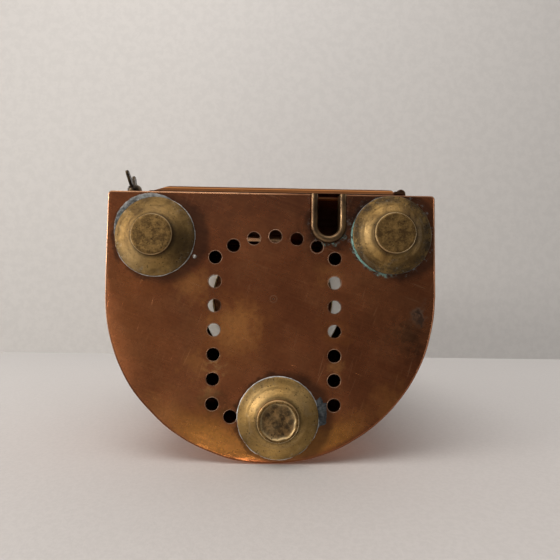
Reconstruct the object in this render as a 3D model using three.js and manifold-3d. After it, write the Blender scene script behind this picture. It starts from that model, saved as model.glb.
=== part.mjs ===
// A ship's masthead lantern in copper and brass: a D-shaped case on three feet, a 225 degree ribbed lens
// behind guard rods, a hinged back door, a paraffin lamp inside and a folding carrying bail on the roof.
// Millimetres, +Z up, the lens faces -Y and the door is at the back, +Y. Left is +X, as seen from behind
// the lantern looking forward.
import * as THREE from 'three';
import { mergeVertices } from 'three/addons/utils/BufferGeometryUtils.js';
import Module from 'manifold-3d';

// ---------------------------------------------------------------- driving dimensions
const GAP = 0.3; // clearance between sheets that touch on the real lantern
const SHEET = 1.2; // copper sheet
const CASE_R = 105; // radius of the case's round front
const CASE_BACK = 65.5; // from the round front's centre to the flat back
const WALL_R = CASE_R - GAP; // outside of the walls, just inside the base plate's edge
const WALL_BACK = CASE_BACK - SHEET - GAP; // where the side walls stop, in front of the back wall

const FOOT_H = 9.8;
const FOOT_R = 25.4;
const PAD_R = 13.1;
// foot centres: x, y
const FEET = { foot_left: [74.4, 36.4], foot_right: [-77.2, 39.7], foot_front: [-5.7, -76.7] };

const PLATE_Z = FOOT_H; // underside of the base plate
const WALL_Z = PLATE_Z + SHEET + GAP; // foot of the walls

const VENT_R = 4.1;
const VENT_CENTRE = [-2.5, -22.5];
const VENT_COLUMN = 38.2; // half the distance between the two rows of vents
const VENT_PITCH = 15.4;
const VENTS_IN_COLUMN = 7;
const VENT_ARC_R = 59.2; // each end is closed by an arc of vents
const VENT_ARC_STEP = THREE.MathUtils.degToRad(13.4);

const SLOT_X = -36.3; // the lead slot, open at the back edge
const SLOT_CENTRE_Y = 45.4;
const SLOT_R = 6.9; // inside of its brass liner
const LINER_R = 11.4; // outside of the liner
const LINER_PROUD = 2.8; // how far the liner stands below the plate
const LINER_H = 9.8;

const LENS_FLOOR_Z = 165.3;
const LENS_R = 78;
const LENS_WALL = 6;
const LENS_ARC = THREE.MathUtils.degToRad(225);
const LENS_RIBS = 7;
const RIB_DEPTH = 2.2;
const LENS_SEAT = 3; // height of the brass ring under and over the glass
const LENS_ROOF_Z = 253;
const SEAT_Z = LENS_FLOOR_Z + SHEET + GAP;
const LENS_Z0 = SEAT_Z + LENS_SEAT + GAP;
const LENS_Z1 = LENS_ROOF_Z - GAP - LENS_SEAT - GAP;

const ROD_R = 2.5;
const ROD_RING_R = 97;
const ROD_ANGLES = [-72, -36, 0, 36, 72];
const HOOP_TUBE_R = 1.8;
const HOOP_R = ROD_RING_R + ROD_R + HOOP_TUBE_R + GAP;

const CROWN_Z = 285.3;
const CROWN_H = 36.7;
const DRUM_R = 45.7;
const DRUM_Z = CROWN_Z + CROWN_H + GAP;
const DRUM_H = 38;
const UPPER_VENTS = 8; // round the drum
const UPPER_VENT_R = 5;
const UPPER_VENT_RISE = 14; // above the drum's foot
const COWL_R = 61;
const CAP_Z = DRUM_Z + DRUM_H + GAP;
const CAP_R = 51.2;

const DOOR_Z0 = PLATE_Z + 3;
const DOOR_Z1 = 256;
const DOOR_LEFT = 81; // free edge
const HINGE_X = -86.4;
const DOOR_INNER_Y = CASE_BACK + 0.5;
const DOOR_DEPTH = 6.5;
const DOOR_BEVEL = 10;
const DOOR_BEVEL_END = 5;
const HINGE_Y = CASE_BACK + 3.9;
const KNUCKLE_R = 3.2;
const KNUCKLE_SET_IN = 8; // from the door's ends to the outermost knuckles
const PIN_R = 1.5;
const DOOR_RIGHT = HINGE_X + KNUCKLE_R + 2 * GAP;
const DOORWAY = { x0: -78, x1: 72, z0: 22, z1: 246 };

const CATCH = [95, PLATE_Z + 20]; // x, z of the wing catch
const BAIL_X = 72;
const BAIL_Z = 314;
const BAIL_LEG = 30;
const BAIL_WIRE = 2.5;
const BAIL_TILT = THREE.MathUtils.degToRad(12); // the folded bail slopes down to the roof's front edge

const FONT_R = 28.5;
const FONT_Z = 13.5;
const FONT_H = 112;
const COLLAR_R = 16;
const BURNER_Z = FONT_Z + FONT_H + 6.5;
const WICK_AXLE_Z = BURNER_Z + 22;

// the whole lantern is centred on its bounding box: the catch's wings reach furthest back
const BACK_REACH = CASE_BACK + 17.92;
const CENTRE_SHIFT = (CASE_R - BACK_REACH) / 2;

// ---------------------------------------------------------------- finishes
const FINISH = {
  copper: new THREE.MeshStandardMaterial({ color: 0x8a4b2a, roughness: 0.42, metalness: 0.9 }),
  brass: new THREE.MeshStandardMaterial({ color: 0x8f7440, roughness: 0.45, metalness: 0.9 }),
  glass: new THREE.MeshStandardMaterial({ color: 0xdfe8e4, roughness: 0.08, metalness: 0 }),
  steel: new THREE.MeshStandardMaterial({ color: 0x4a4744, roughness: 0.5, metalness: 0.8 }),
  wick: new THREE.MeshStandardMaterial({ color: 0xd8cfb8, roughness: 0.95, metalness: 0 }),
};

// ---------------------------------------------------------------- solid helpers
const wasm = await Module();
wasm.setup();

function toSolid(geometry) {
  const bare = geometry.clone();
  bare.deleteAttribute('normal');
  bare.deleteAttribute('uv');
  const merged = mergeVertices(bare, 1e-3);
  return new wasm.Manifold(new wasm.Mesh({
    numProp: 3,
    vertProperties: new Float32Array(merged.attributes.position.array),
    triVerts: new Uint32Array(merged.index.array),
  }));
}

function toGeometry(solid) {
  const mesh = solid.getMesh();
  const geometry = new THREE.BufferGeometry();
  geometry.setAttribute('position', new THREE.BufferAttribute(mesh.vertProperties, 3));
  geometry.setIndex(new THREE.BufferAttribute(mesh.triVerts, 1));
  return geometry;
}

function cut(geometry, ...tools) {
  return toGeometry(tools.reduce((solid, tool) => solid.subtract(toSolid(tool)), toSolid(geometry)));
}

function join(first, ...others) {
  return toGeometry(others.reduce((solid, other) => solid.add(toSolid(other)), toSolid(first)));
}

// a flat outline in X and Y, raised from z0 to z1
function prism(shape, z0, z1, curveSegments = 24) {
  const geometry = new THREE.ExtrudeGeometry(shape, { depth: z1 - z0, bevelEnabled: false, curveSegments });
  return geometry.translate(0, 0, z0);
}

// [radius, z] points from the foot of the outside up, turned about Z
function turned(points, segments = 32) {
  const geometry = new THREE.LatheGeometry(points.map(([r, z]) => new THREE.Vector2(r, z)), segments);
  return geometry.rotateX(Math.PI / 2);
}

// a tube wall between two radii
function sleeve(inner, outer, z0, z1, segments = 32) {
  return turned([[inner, z0], [outer, z0], [outer, z1], [inner, z1], [inner, z0]], segments);
}

function box(x0, x1, y0, y1, z0, z1) {
  const geometry = new THREE.BoxGeometry(x1 - x0, y1 - y0, z1 - z0);
  return geometry.translate((x0 + x1) / 2, (y0 + y1) / 2, (z0 + z1) / 2);
}

// a round bar along X, Y or Z from a to b
function bar(axis, radius, a, b, segments = 16) {
  const geometry = new THREE.CylinderGeometry(radius, radius, b - a, segments);
  geometry.translate(0, (a + b) / 2, 0);
  if (axis === 'z') geometry.rotateX(Math.PI / 2);
  if (axis === 'x') geometry.rotateZ(-Math.PI / 2);
  return geometry;
}

// ---------------------------------------------------------------- outlines
// the D of the case: round in front, straight sides, flat back
function dOutline(radius, back) {
  const shape = new THREE.Shape();
  shape.moveTo(radius, back);
  shape.lineTo(-radius, back);
  shape.lineTo(-radius, 0);
  shape.absarc(0, 0, radius, Math.PI, 2 * Math.PI, false);
  return shape;
}

// the open U of a side-and-front wall
function wallOutline(outer, back, thickness) {
  const shape = new THREE.Shape();
  shape.moveTo(outer, back);
  shape.lineTo(outer - thickness, back);
  shape.lineTo(outer - thickness, 0);
  shape.absarc(0, 0, outer - thickness, 0, Math.PI, true);
  shape.lineTo(-(outer - thickness), back);
  shape.lineTo(-outer, back);
  shape.lineTo(-outer, 0);
  shape.absarc(0, 0, outer, Math.PI, 2 * Math.PI, false);
  return shape;
}

function circle(radius, x = 0, y = 0) {
  const path = new THREE.Path();
  path.absarc(x, y, radius, 0, 2 * Math.PI, false);
  return path;
}

// ---------------------------------------------------------------- base
function ventCentres() {
  const half = ((VENTS_IN_COLUMN - 1) / 2) * VENT_PITCH;
  const centres = [];
  for (let row = 0; row < VENTS_IN_COLUMN; row += 1) {
    centres.push([VENT_COLUMN, row * VENT_PITCH - half], [-VENT_COLUMN, row * VENT_PITCH - half]);
  }
  const arcCentre = half - Math.sqrt(VENT_ARC_R ** 2 - VENT_COLUMN ** 2);
  for (let step = -2; step <= 2; step += 1) {
    const x = VENT_ARC_R * Math.sin(step * VENT_ARC_STEP);
    const y = arcCentre + VENT_ARC_R * Math.cos(step * VENT_ARC_STEP);
    centres.push([x, y], [x, -y]);
  }
  return centres.map(([x, y]) => [x + VENT_CENTRE[0], y + VENT_CENTRE[1]]);
}

// a U open at the back, from the outer radius in to the inner one, or solid when inner is 0
function slotOutline(outer, inner, back) {
  const shape = new THREE.Shape();
  shape.moveTo(SLOT_X + outer, back);
  if (inner > 0) {
    shape.lineTo(SLOT_X + inner, back);
    shape.lineTo(SLOT_X + inner, SLOT_CENTRE_Y);
    shape.absarc(SLOT_X, SLOT_CENTRE_Y, inner, 0, Math.PI, true);
    shape.lineTo(SLOT_X - inner, back);
  }
  shape.lineTo(SLOT_X - outer, back);
  shape.lineTo(SLOT_X - outer, SLOT_CENTRE_Y);
  shape.absarc(SLOT_X, SLOT_CENTRE_Y, outer, Math.PI, 2 * Math.PI, false);
  return shape;
}

function basePlate() {
  const plate = prism(dOutline(CASE_R, CASE_BACK), PLATE_Z, PLATE_Z + SHEET, 32);
  const vents = ventCentres().map(([x, y]) => bar('z', VENT_R, 0, 20, 12).translate(x, y, 0));
  const slot = prism(slotOutline(LINER_R + GAP, 0, CASE_BACK + 5), PLATE_Z - 5, PLATE_Z + 5, 12);
  return cut(plate, slot, ...vents);
}

function slotLiner() {
  const z0 = PLATE_Z - LINER_PROUD;
  return prism(slotOutline(LINER_R, SLOT_R, CASE_BACK - GAP), z0, z0 + LINER_H, 16);
}

// a spun brass foot: shallow brim, hollow cone, collar and a round pad to stand on
function foot() {
  const top = FOOT_H - GAP;
  return turned([
    [0, 0],
    [PAD_R - 0.7, 0],
    [PAD_R, 0.7],
    [PAD_R + 0.6, 2.5],
    [FOOT_R * 0.63, 4.3],
    [FOOT_R * 0.77, 7],
    [FOOT_R, top - 0.9],
    [FOOT_R, top],
    [0, top],
  ], 24);
}

// ---------------------------------------------------------------- case
function lowerWall() {
  return prism(wallOutline(WALL_R, WALL_BACK, SHEET), WALL_Z, LENS_FLOOR_Z - GAP);
}

function upperWall() {
  return prism(wallOutline(WALL_R, WALL_BACK, SHEET), LENS_ROOF_Z + SHEET + GAP, CROWN_Z - GAP);
}

function backWall() {
  const wall = box(-WALL_R, WALL_R, WALL_BACK + GAP, CASE_BACK, WALL_Z, CROWN_Z - GAP);
  const doorway = box(DOORWAY.x0, DOORWAY.x1, 0, 100, DOORWAY.z0, DOORWAY.z1);
  const slotTop = PLATE_Z - LINER_PROUD + LINER_H + GAP;
  const slot = box(SLOT_X - LINER_R - GAP, SLOT_X + LINER_R + GAP, 0, 100, 0, slotTop);
  return cut(wall, doorway, slot);
}

function lensFloor() {
  const plate = prism(dOutline(CASE_R, WALL_BACK), LENS_FLOOR_Z, LENS_FLOOR_Z + SHEET);
  const well = bar('z', LENS_R - LENS_WALL - 0.5, 100, 200, 48);
  const wayOut = box(-45, 45, 0, 100, 100, 200); // the lamp comes out backwards through here
  return cut(plate, well, wayOut);
}

function lensRoof() {
  const shape = dOutline(CASE_R, WALL_BACK);
  shape.holes.push(circle(50));
  return prism(shape, LENS_ROOF_Z, LENS_ROOF_Z + SHEET);
}

// what lies behind the lens's two ends
function sternSector() {
  const reach = 200;
  const end = LENS_ARC / 2 - Math.PI / 2; // how far the lens's ends reach past the X axis
  const shape = new THREE.Shape();
  shape.moveTo(0, 0);
  shape.lineTo(reach * Math.cos(end), reach * Math.sin(end));
  shape.lineTo(reach, reach);
  shape.lineTo(-reach, reach);
  shape.lineTo(-reach * Math.cos(end), reach * Math.sin(end));
  return prism(shape, 100, 300);
}

function lensRing(z0) {
  return cut(sleeve(LENS_R - LENS_WALL - 1, LENS_R + 2, z0, z0 + LENS_SEAT, 44), sternSector());
}

// glass with a smooth bull's-eye belt in the middle and stepped ribs above and below it
function lens() {
  const inner = LENS_R - LENS_WALL;
  const height = LENS_Z1 - LENS_Z0;
  const pitch = height / LENS_RIBS;
  const middle = (LENS_RIBS - 1) / 2;
  const points = [[inner, LENS_Z0]];
  for (let rib = 0; rib < LENS_RIBS; rib += 1) {
    const low = LENS_Z0 + rib * pitch;
    if (rib < middle) points.push([LENS_R - RIB_DEPTH, low], [LENS_R, low + pitch]);
    if (rib === middle) {
      points.push([LENS_R - RIB_DEPTH, low], [LENS_R, low + pitch / 2], [LENS_R - RIB_DEPTH, low + pitch]);
    }
    if (rib > middle) points.push([LENS_R, low], [LENS_R - RIB_DEPTH, low + pitch]);
  }
  points.push([inner, LENS_Z1], [inner, LENS_Z0]);
  return cut(turned(points, 44), sternSector());
}

function guardRod(degrees) {
  const angle = THREE.MathUtils.degToRad(degrees);
  const rod = bar('z', ROD_R, SEAT_Z, LENS_ROOF_Z - GAP, 12);
  return rod.translate(ROD_RING_R * Math.sin(angle), -ROD_RING_R * Math.cos(angle), 0);
}

function guardHoop() {
  const hoop = new THREE.TorusGeometry(HOOP_R, HOOP_TUBE_R, 8, 44);
  hoop.translate(0, 0, (LENS_Z0 + LENS_Z1) / 2);
  return cut(hoop, box(-200, 200, 5, 200, 0, 400));
}

// a side wall beside the door that turns in to the lens's end and screens the light from astern
function screen(side) {
  const turn = LENS_ARC / 2 - Math.PI / 2;
  const bend = WALL_R * Math.tan(turn);
  const tip = LENS_R + 2.5;
  const shape = new THREE.Shape();
  const points = [
    [WALL_R, WALL_BACK],
    [WALL_R - SHEET, WALL_BACK],
    [WALL_R - SHEET, bend + SHEET],
    [tip * Math.cos(turn), tip * Math.sin(turn) + SHEET],
    [tip * Math.cos(turn), tip * Math.sin(turn)],
    [WALL_R, bend],
  ].map(([x, y]) => new THREE.Vector2(side * x, y));
  shape.setFromPoints(points);
  return prism(shape, SEAT_Z, LENS_ROOF_Z - GAP);
}

// the same ring of directions for the D and for the round top, so that straight sheets can join the two
function crownAngles() {
  const corner = Math.atan2(CASE_BACK, CASE_R);
  const angles = [];
  for (let step = 0; step < 6; step += 1) angles.push((corner * step) / 6);
  for (let step = 0; step < 12; step += 1) angles.push(corner + ((Math.PI - 2 * corner) * step) / 12);
  for (let step = 0; step < 6; step += 1) angles.push(Math.PI - corner + (corner * step) / 6);
  for (let step = 0; step < 24; step += 1) angles.push(Math.PI + (Math.PI * step) / 24);
  return angles;
}

function dRadius(angle, radius, back) {
  if (Math.sin(angle) <= 0) return radius;
  return Math.min(radius / Math.abs(Math.cos(angle)), back / Math.sin(angle));
}

// rings of points joined in order, and the last to the first
function ringSkin(rings) {
  const count = rings[0].length;
  const index = [];
  for (let r = 0; r < rings.length; r += 1) {
    for (let i = 0; i < count; i += 1) {
      const a = r * count + i;
      const b = r * count + ((i + 1) % count);
      const c = ((r + 1) % rings.length) * count + i;
      const d = ((r + 1) % rings.length) * count + ((i + 1) % count);
      index.push(a, b, d, a, d, c);
    }
  }
  const geometry = new THREE.BufferGeometry();
  geometry.setAttribute('position', new THREE.Float32BufferAttribute(rings.flat(2), 3));
  geometry.setIndex(index);
  return geometry;
}

// a ring on the roof's D-shaped foot, inset from the case's edge, or round the drum when topInset is given
function crownRing(inset, topInset, z) {
  return crownAngles().map((angle) => {
    const onDrum = topInset !== null;
    const r = onDrum ? DRUM_R + GAP - topInset : dRadius(angle, CASE_R - inset, CASE_BACK - inset);
    return [r * Math.cos(angle), r * Math.sin(angle), z];
  });
}

function crown() {
  const top = CROWN_Z + CROWN_H;
  return ringSkin([
    crownRing(0, null, CROWN_Z),
    crownRing(0, 0, top),
    crownRing(0, SHEET * 1.3, top),
    crownRing(SHEET * 1.8, null, CROWN_Z),
  ]);
}

function upperVents() {
  const vents = [];
  for (let step = 0; step < UPPER_VENTS; step += 1) {
    const vent = bar('x', UPPER_VENT_R, DRUM_R - 8, DRUM_R + 8, 8);
    vent.translate(0, 0, DRUM_Z + UPPER_VENT_RISE);
    vents.push(vent.rotateZ((2 * Math.PI * (step + 0.5)) / UPPER_VENTS));
  }
  return vents;
}

function chimneyDrum() {
  return cut(sleeve(DRUM_R - SHEET, DRUM_R, DRUM_Z, DRUM_Z + DRUM_H), ...upperVents());
}

function cowl() {
  const z = DRUM_Z;
  const inner = DRUM_R + GAP;
  return turned([
    [COWL_R - 1, z + 8],
    [COWL_R, z + 8],
    [COWL_R, z + 14],
    [inner + 2, z + 33],
    [inner + 2, z + 36],
    [inner, z + 36],
    [inner, z + 31],
    [COWL_R - 1, z + 13.6],
    [COWL_R - 1, z + 8],
  ]);
}

function cap() {
  const z = CAP_Z;
  const inner = CAP_R - SHEET;
  return turned([
    [inner, z - 5],
    [CAP_R, z - 5],
    [CAP_R, z + 1],
    [CAP_R - 4.2, z + 7],
    [30, z + 14],
    [0, z + 18],
    [0, z + 16.8],
    [29.6, z + 12.8],
    [46, z + 6.2],
    [inner, z + 0.5],
    [inner, z - 5],
  ]);
}

function innerChimney() {
  const foot = LENS_ROOF_Z + SHEET + GAP;
  const flue = 27.2;
  return turned([
    [47, foot],
    [54, foot],
    [54, foot + 1.2],
    [48.2, foot + 1.2],
    [flue, foot + 42],
    [flue, foot + 92],
    [flue - SHEET, foot + 92],
    [flue - SHEET, foot + 41.6],
    [47, foot + 0.9],
    [47, foot],
  ], 24);
}

// ---------------------------------------------------------------- bail
// The bail is drawn flat, with its pivot on the X axis and its bow towards -Y, and then tilted and raised.
class BailLine extends THREE.Curve {
  getPoint(t, target = new THREE.Vector3()) {
    const arc = Math.PI * BAIL_X;
    const total = 2 * BAIL_LEG + arc;
    const s = t * total;
    if (s < BAIL_LEG) return target.set(BAIL_X, -s, 0);
    if (s > BAIL_LEG + arc) return target.set(-BAIL_X, -(total - s), 0);
    const angle = (s - BAIL_LEG) / BAIL_X;
    return target.set(BAIL_X * Math.cos(angle), -BAIL_LEG - BAIL_X * Math.sin(angle), 0);
  }
}

function bail() {
  const section = new THREE.Shape();
  section.absarc(0, 0, BAIL_WIRE, 0, 2 * Math.PI, false);
  const wire = new THREE.ExtrudeGeometry(section, {
    extrudePath: new BailLine(),
    steps: 28,
    curveSegments: 4,
    bevelEnabled: false,
  });
  const eyes = [BAIL_X, -BAIL_X].map((x) => bar('x', 5.5, x - 1.6, x + 1.6));
  const bores = [BAIL_X, -BAIL_X].map((x) => bar('x', 2.6, x - 9, x + 9));
  return cut(join(wire, ...eyes), ...bores).rotateX(BAIL_TILT).translate(0, 0, BAIL_Z);
}

// a block on the roof with a riveted pin for the bail's eye
function bailLug(side) {
  const block = box(BAIL_X + 3, BAIL_X + 8.6, -6, 6, CROWN_Z, BAIL_Z + 5);
  const pin = bar('x', 2.2, BAIL_X - 4, BAIL_X + 4).translate(0, 0, BAIL_Z);
  const head = bar('x', 3.8, BAIL_X - 4.6, BAIL_X - 2.9).translate(0, 0, BAIL_Z);
  const underRoof = ringSkin([
    crownRing(-GAP, null, CROWN_Z - 5),
    crownRing(-GAP, null, CROWN_Z + GAP),
    crownRing(0, -GAP, CROWN_Z + CROWN_H + GAP),
    crownRing(0, DRUM_R, CROWN_Z + CROWN_H + GAP),
    crownRing(0, DRUM_R, CROWN_Z - 5),
  ]);
  const lug = cut(join(block, pin, head), underRoof);
  return side > 0 ? lug : lug.rotateZ(Math.PI);
}

// an eye plate on the side of the case, for a stay
function stayLug(side, z) {
  const shape = new THREE.Shape();
  shape.moveTo(0, -9);
  shape.lineTo(5, -9);
  shape.absarc(5, 0, 9, -Math.PI / 2, Math.PI / 2, false);
  shape.lineTo(0, 9);
  shape.holes.push(circle(4.2, 5.5, 0));
  const plate = prism(shape, -1.5, 1.5, 6).rotateX(Math.PI / 2);
  if (side < 0) plate.rotateZ(Math.PI);
  return plate.translate(side * (CASE_R + GAP), 22, z);
}

// ---------------------------------------------------------------- door
// a pressed lid: bevelled on every side and hollow behind, with knuckles rolled along one upright edge
function doorPan(inset, depth, innerY) {
  const near = innerY;
  const far = innerY + depth;
  const low = [DOOR_RIGHT + inset, DOOR_LEFT - inset, DOOR_Z0 + inset, DOOR_Z1 - inset];
  const high = [DOOR_RIGHT + inset + 2, DOOR_LEFT - inset - DOOR_BEVEL, DOOR_Z0 + inset + DOOR_BEVEL_END,
    DOOR_Z1 - inset - DOOR_BEVEL_END];
  const corners = ([x0, x1, z0, z1], y) => [[x0, y, z0], [x1, y, z0], [x1, y, z1], [x0, y, z1]];
  const geometry = new THREE.BufferGeometry();
  const rings = [corners(low, near - (inset > 0 ? 5 : 0)), corners(low, near + 0.8), corners(high, far)];
  geometry.setAttribute('position', new THREE.Float32BufferAttribute(rings.flat(2), 3));
  const index = [0, 1, 2, 0, 2, 3, 8, 10, 9, 8, 11, 10];
  for (let ring = 0; ring < 2; ring += 1) {
    for (let i = 0; i < 4; i += 1) {
      const a = ring * 4 + i;
      const b = ring * 4 + ((i + 1) % 4);
      index.push(a, b + 4, b, a, a + 4, b + 4);
    }
  }
  geometry.setIndex(index);
  return geometry;
}

function knuckle(z0, z1, outer = KNUCKLE_R) {
  return bar('z', outer, z0, z1).translate(HINGE_X, HINGE_Y, 0);
}

// heights where the knuckles meet: door, wall, door, wall, door
const HINGE_STEPS = [DOOR_Z0 + KNUCKLE_SET_IN, 52, 88, 180, 216, DOOR_Z1 - KNUCKLE_SET_IN];
const HINGE_Z0 = HINGE_STEPS[0];
const HINGE_Z1 = HINGE_STEPS[HINGE_STEPS.length - 1];

function door() {
  const pan = cut(doorPan(0, DOOR_DEPTH, DOOR_INNER_Y), doorPan(1.2, DOOR_DEPTH - 1.2, DOOR_INNER_Y));
  const edge = box(HINGE_X, DOOR_RIGHT + 2.5, DOOR_INNER_Y + 1.2, DOOR_INNER_Y + 3, DOOR_Z0, DOOR_Z1);
  const wallGaps = [[1, 2], [3, 4]].map(([a, b]) => box(
    HINGE_X - 6, HINGE_X + KNUCKLE_R + GAP, 0, 100, HINGE_STEPS[a] - GAP, HINGE_STEPS[b] + GAP,
  ));
  const bore = knuckle(DOOR_Z0 - 5, DOOR_Z1 + 5, PIN_R + 0.25);
  return cut(join(pan, edge, knuckle(HINGE_Z0, HINGE_Z1)), ...wallGaps, bore);
}

// the wall's half of a hinge: a leaf against the back wall and the knuckle it is rolled into
function hingeLeaf(z0, z1) {
  const leaf = box(HINGE_X - 13, HINGE_X, CASE_BACK + GAP, CASE_BACK + GAP + 1.4, z0, z1);
  return cut(join(leaf, knuckle(z0, z1)), knuckle(z0 - 5, z1 + 5, PIN_R + 0.25));
}

function hingePin() {
  return knuckle(HINGE_Z0 - 1, HINGE_Z1 + 1, PIN_R);
}

// ---------------------------------------------------------------- wing catch
function catchBoss() {
  const boss = turned([[0, 0], [5.6, 0], [5.2, 1.6], [4.4, 3.6], [0, 3.6]], 20);
  return boss.rotateX(-Math.PI / 2).translate(CATCH[0], CASE_BACK + GAP, CATCH[1]);
}

// a hub with two leaning wings to grip, and a tongue that turns over the door's edge
function wingCatch() {
  const y = CASE_BACK + GAP + 3.9;
  const hub = turned([[0, 0], [4.8, 0], [4.8, 2.6], [3.6, 4.6], [0, 5.2]], 20).rotateX(-Math.PI / 2);
  const tongue = box(-4, 4, 0, 1.5, 0, 18);
  const lean = THREE.MathUtils.degToRad(-14);
  const wings = [-1, 1].map((side) => {
    const wing = new THREE.Shape();
    wing.moveTo(0, side * 0.4);
    wing.lineTo(0, side * 4.2);
    wing.lineTo(11.6, side * 8.6);
    wing.lineTo(13.9, side * 7.6);
    wing.lineTo(13.7, side * 5.4);
    wing.lineTo(5, side * 0.4);
    const plate = prism(wing, -0.95, 0.95).rotateY(-Math.PI / 2); // now in the Y-Z plane, depth along X
    return plate.rotateX(-Math.PI / 2).rotateZ(lean);
  });
  return join(hub, tongue, ...wings).translate(CATCH[0], y, CATCH[1]);
}

// ---------------------------------------------------------------- lamp
function lampTray() {
  const rim = FONT_R + 3;
  return turned([
    [0, WALL_Z],
    [rim, WALL_Z],
    [rim, WALL_Z + 5],
    [rim - SHEET, WALL_Z + 5],
    [rim - SHEET, WALL_Z + SHEET],
    [0, WALL_Z + SHEET],
  ], 24);
}

function oilFont() {
  const top = FONT_Z + FONT_H;
  const wall = 1.2;
  return turned([
    [0, FONT_Z],
    [FONT_R - 2, FONT_Z],
    [FONT_R, FONT_Z + 2],
    [FONT_R, top - 1],
    [FONT_R - 1, top],
    [COLLAR_R, top],
    [COLLAR_R, top + 6],
    [COLLAR_R - wall, top + 6],
    [COLLAR_R - wall, top - wall],
    [FONT_R - wall, top - wall],
    [FONT_R - wall, FONT_Z + wall],
    [0, FONT_Z + wall],
  ], 24);
}

function fillerCap() {
  const z = FONT_Z + FONT_H + GAP;
  const capBody = turned([[0, z], [5, z], [5, z + 5], [4.2, z + 6], [0, z + 6]], 16);
  return capBody.translate(0, -22, 0);
}

// the burner: a threaded plug in the font's collar, an air gallery and a dome, with a slot for the flat wick
function burner() {
  const z = BURNER_Z;
  const body = turned([
    [0, z - 5.5],
    [COLLAR_R - 1.6, z - 5.5],
    [COLLAR_R - 1.6, z + 0.2],
    [COLLAR_R, z + 0.2],
    [COLLAR_R, z + 3],
    [12, z + 6],
    [12, z + 28],
    [22, z + 32],
    [22, z + 34],
    [15, z + 34],
    [12, z + 40],
    [0, z + 43],
  ], 24);
  return cut(body, box(-10, 10, -1.6, 1.6, z - 20, z + 60));
}

function wick() {
  return box(-9, 9, -0.9, 0.9, FONT_Z + 8, BURNER_Z + 46);
}

// a milled knob on its axle, reached through the open door
function wickKnob() {
  const axle = bar('y', 1.6, 12.4, 38, 10);
  const wheel = bar('y', 7.5, 34, 39, 20);
  return join(axle, wheel).translate(0, 0, WICK_AXLE_Z);
}

function lampGlass() {
  const z = BURNER_Z + 34 + GAP;
  return sleeve(18, 20, z, z + 62, 28);
}

// ---------------------------------------------------------------- assembly
const lantern = new THREE.Group();

function add(name, geometry, finish) {
  const mesh = new THREE.Mesh(geometry, FINISH[finish].clone());
  mesh.name = name;
  lantern.add(mesh);
}

add('base_plate', basePlate(), 'copper');
for (const [name, [x, y]] of Object.entries(FEET)) {
  add(name, foot().translate(x, y, 0), 'brass');
}
add('slot_liner', slotLiner(), 'brass');
add('lower_wall', lowerWall(), 'copper');
add('back_wall', backWall(), 'copper');
add('lens_floor', lensFloor(), 'copper');
add('lens_roof', lensRoof(), 'copper');
add('lens_ring_low', lensRing(SEAT_Z), 'brass');
add('lens_ring_high', lensRing(LENS_ROOF_Z - GAP - LENS_SEAT), 'brass');
add('lens', lens(), 'glass');
ROD_ANGLES.forEach((degrees, i) => {
  add(`guard_rod_${i + 1}`, guardRod(degrees), 'brass');
});
add('guard_hoop', guardHoop(), 'brass');
add('screen_left', screen(1), 'copper');
add('screen_right', screen(-1), 'copper');
add('upper_wall', upperWall(), 'copper');
add('crown', crown(), 'copper');
add('chimney_drum', chimneyDrum(), 'copper');
add('inner_chimney', innerChimney(), 'copper');
add('cowl', cowl(), 'copper');
add('cap', cap(), 'copper');
add('bail_lug_left', bailLug(1), 'brass');
add('bail_lug_right', bailLug(-1), 'brass');
add('bail', bail(), 'brass');
[[1, 270], [-1, 270], [1, 96], [-1, 96]].forEach(([side, z], i) => {
  add(`stay_lug_${i + 1}`, stayLug(side, z), 'brass');
});
add('door', door(), 'copper');
add('hinge_leaf_low', hingeLeaf(HINGE_STEPS[1] + GAP, HINGE_STEPS[2] - GAP), 'brass');
add('hinge_leaf_high', hingeLeaf(HINGE_STEPS[3] + GAP, HINGE_STEPS[4] - GAP), 'brass');
add('hinge_pin', hingePin(), 'brass');
add('catch_boss', catchBoss(), 'brass');
add('wing_catch', wingCatch(), 'steel');
add('lamp_tray', lampTray(), 'copper');
add('oil_font', oilFont(), 'brass');
add('filler_cap', fillerCap(), 'brass');
add('burner', burner(), 'brass');
add('wick', wick(), 'wick');
add('wick_knob', wickKnob(), 'brass');
add('lamp_glass', lampGlass(), 'glass');

lantern.position.y = CENTRE_SHIFT;

export default lantern;
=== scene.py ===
"""Looks of the masthead lantern: aged copper sheet, spun brass feet, ribbed glass and a paraffin lamp."""
import math
import random

import bmesh
import bpy
from mathutils import Euler, Matrix, Vector, noise
from mathutils.geometry import delaunay_2d_cdt


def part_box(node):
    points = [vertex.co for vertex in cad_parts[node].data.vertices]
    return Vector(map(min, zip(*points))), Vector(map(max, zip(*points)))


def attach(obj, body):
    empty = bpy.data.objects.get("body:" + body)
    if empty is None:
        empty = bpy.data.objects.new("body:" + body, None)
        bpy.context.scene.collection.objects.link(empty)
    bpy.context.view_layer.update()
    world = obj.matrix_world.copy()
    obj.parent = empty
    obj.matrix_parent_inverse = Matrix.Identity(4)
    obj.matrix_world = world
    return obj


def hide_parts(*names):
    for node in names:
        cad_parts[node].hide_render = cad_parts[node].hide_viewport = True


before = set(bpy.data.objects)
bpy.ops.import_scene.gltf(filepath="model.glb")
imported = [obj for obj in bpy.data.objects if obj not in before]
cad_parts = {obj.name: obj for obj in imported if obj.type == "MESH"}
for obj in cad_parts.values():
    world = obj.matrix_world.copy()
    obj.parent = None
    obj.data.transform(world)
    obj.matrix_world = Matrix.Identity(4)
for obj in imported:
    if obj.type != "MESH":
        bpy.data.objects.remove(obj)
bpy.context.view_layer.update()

MM = 0.001
TAU = 2 * math.pi
random.seed(7)

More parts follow.
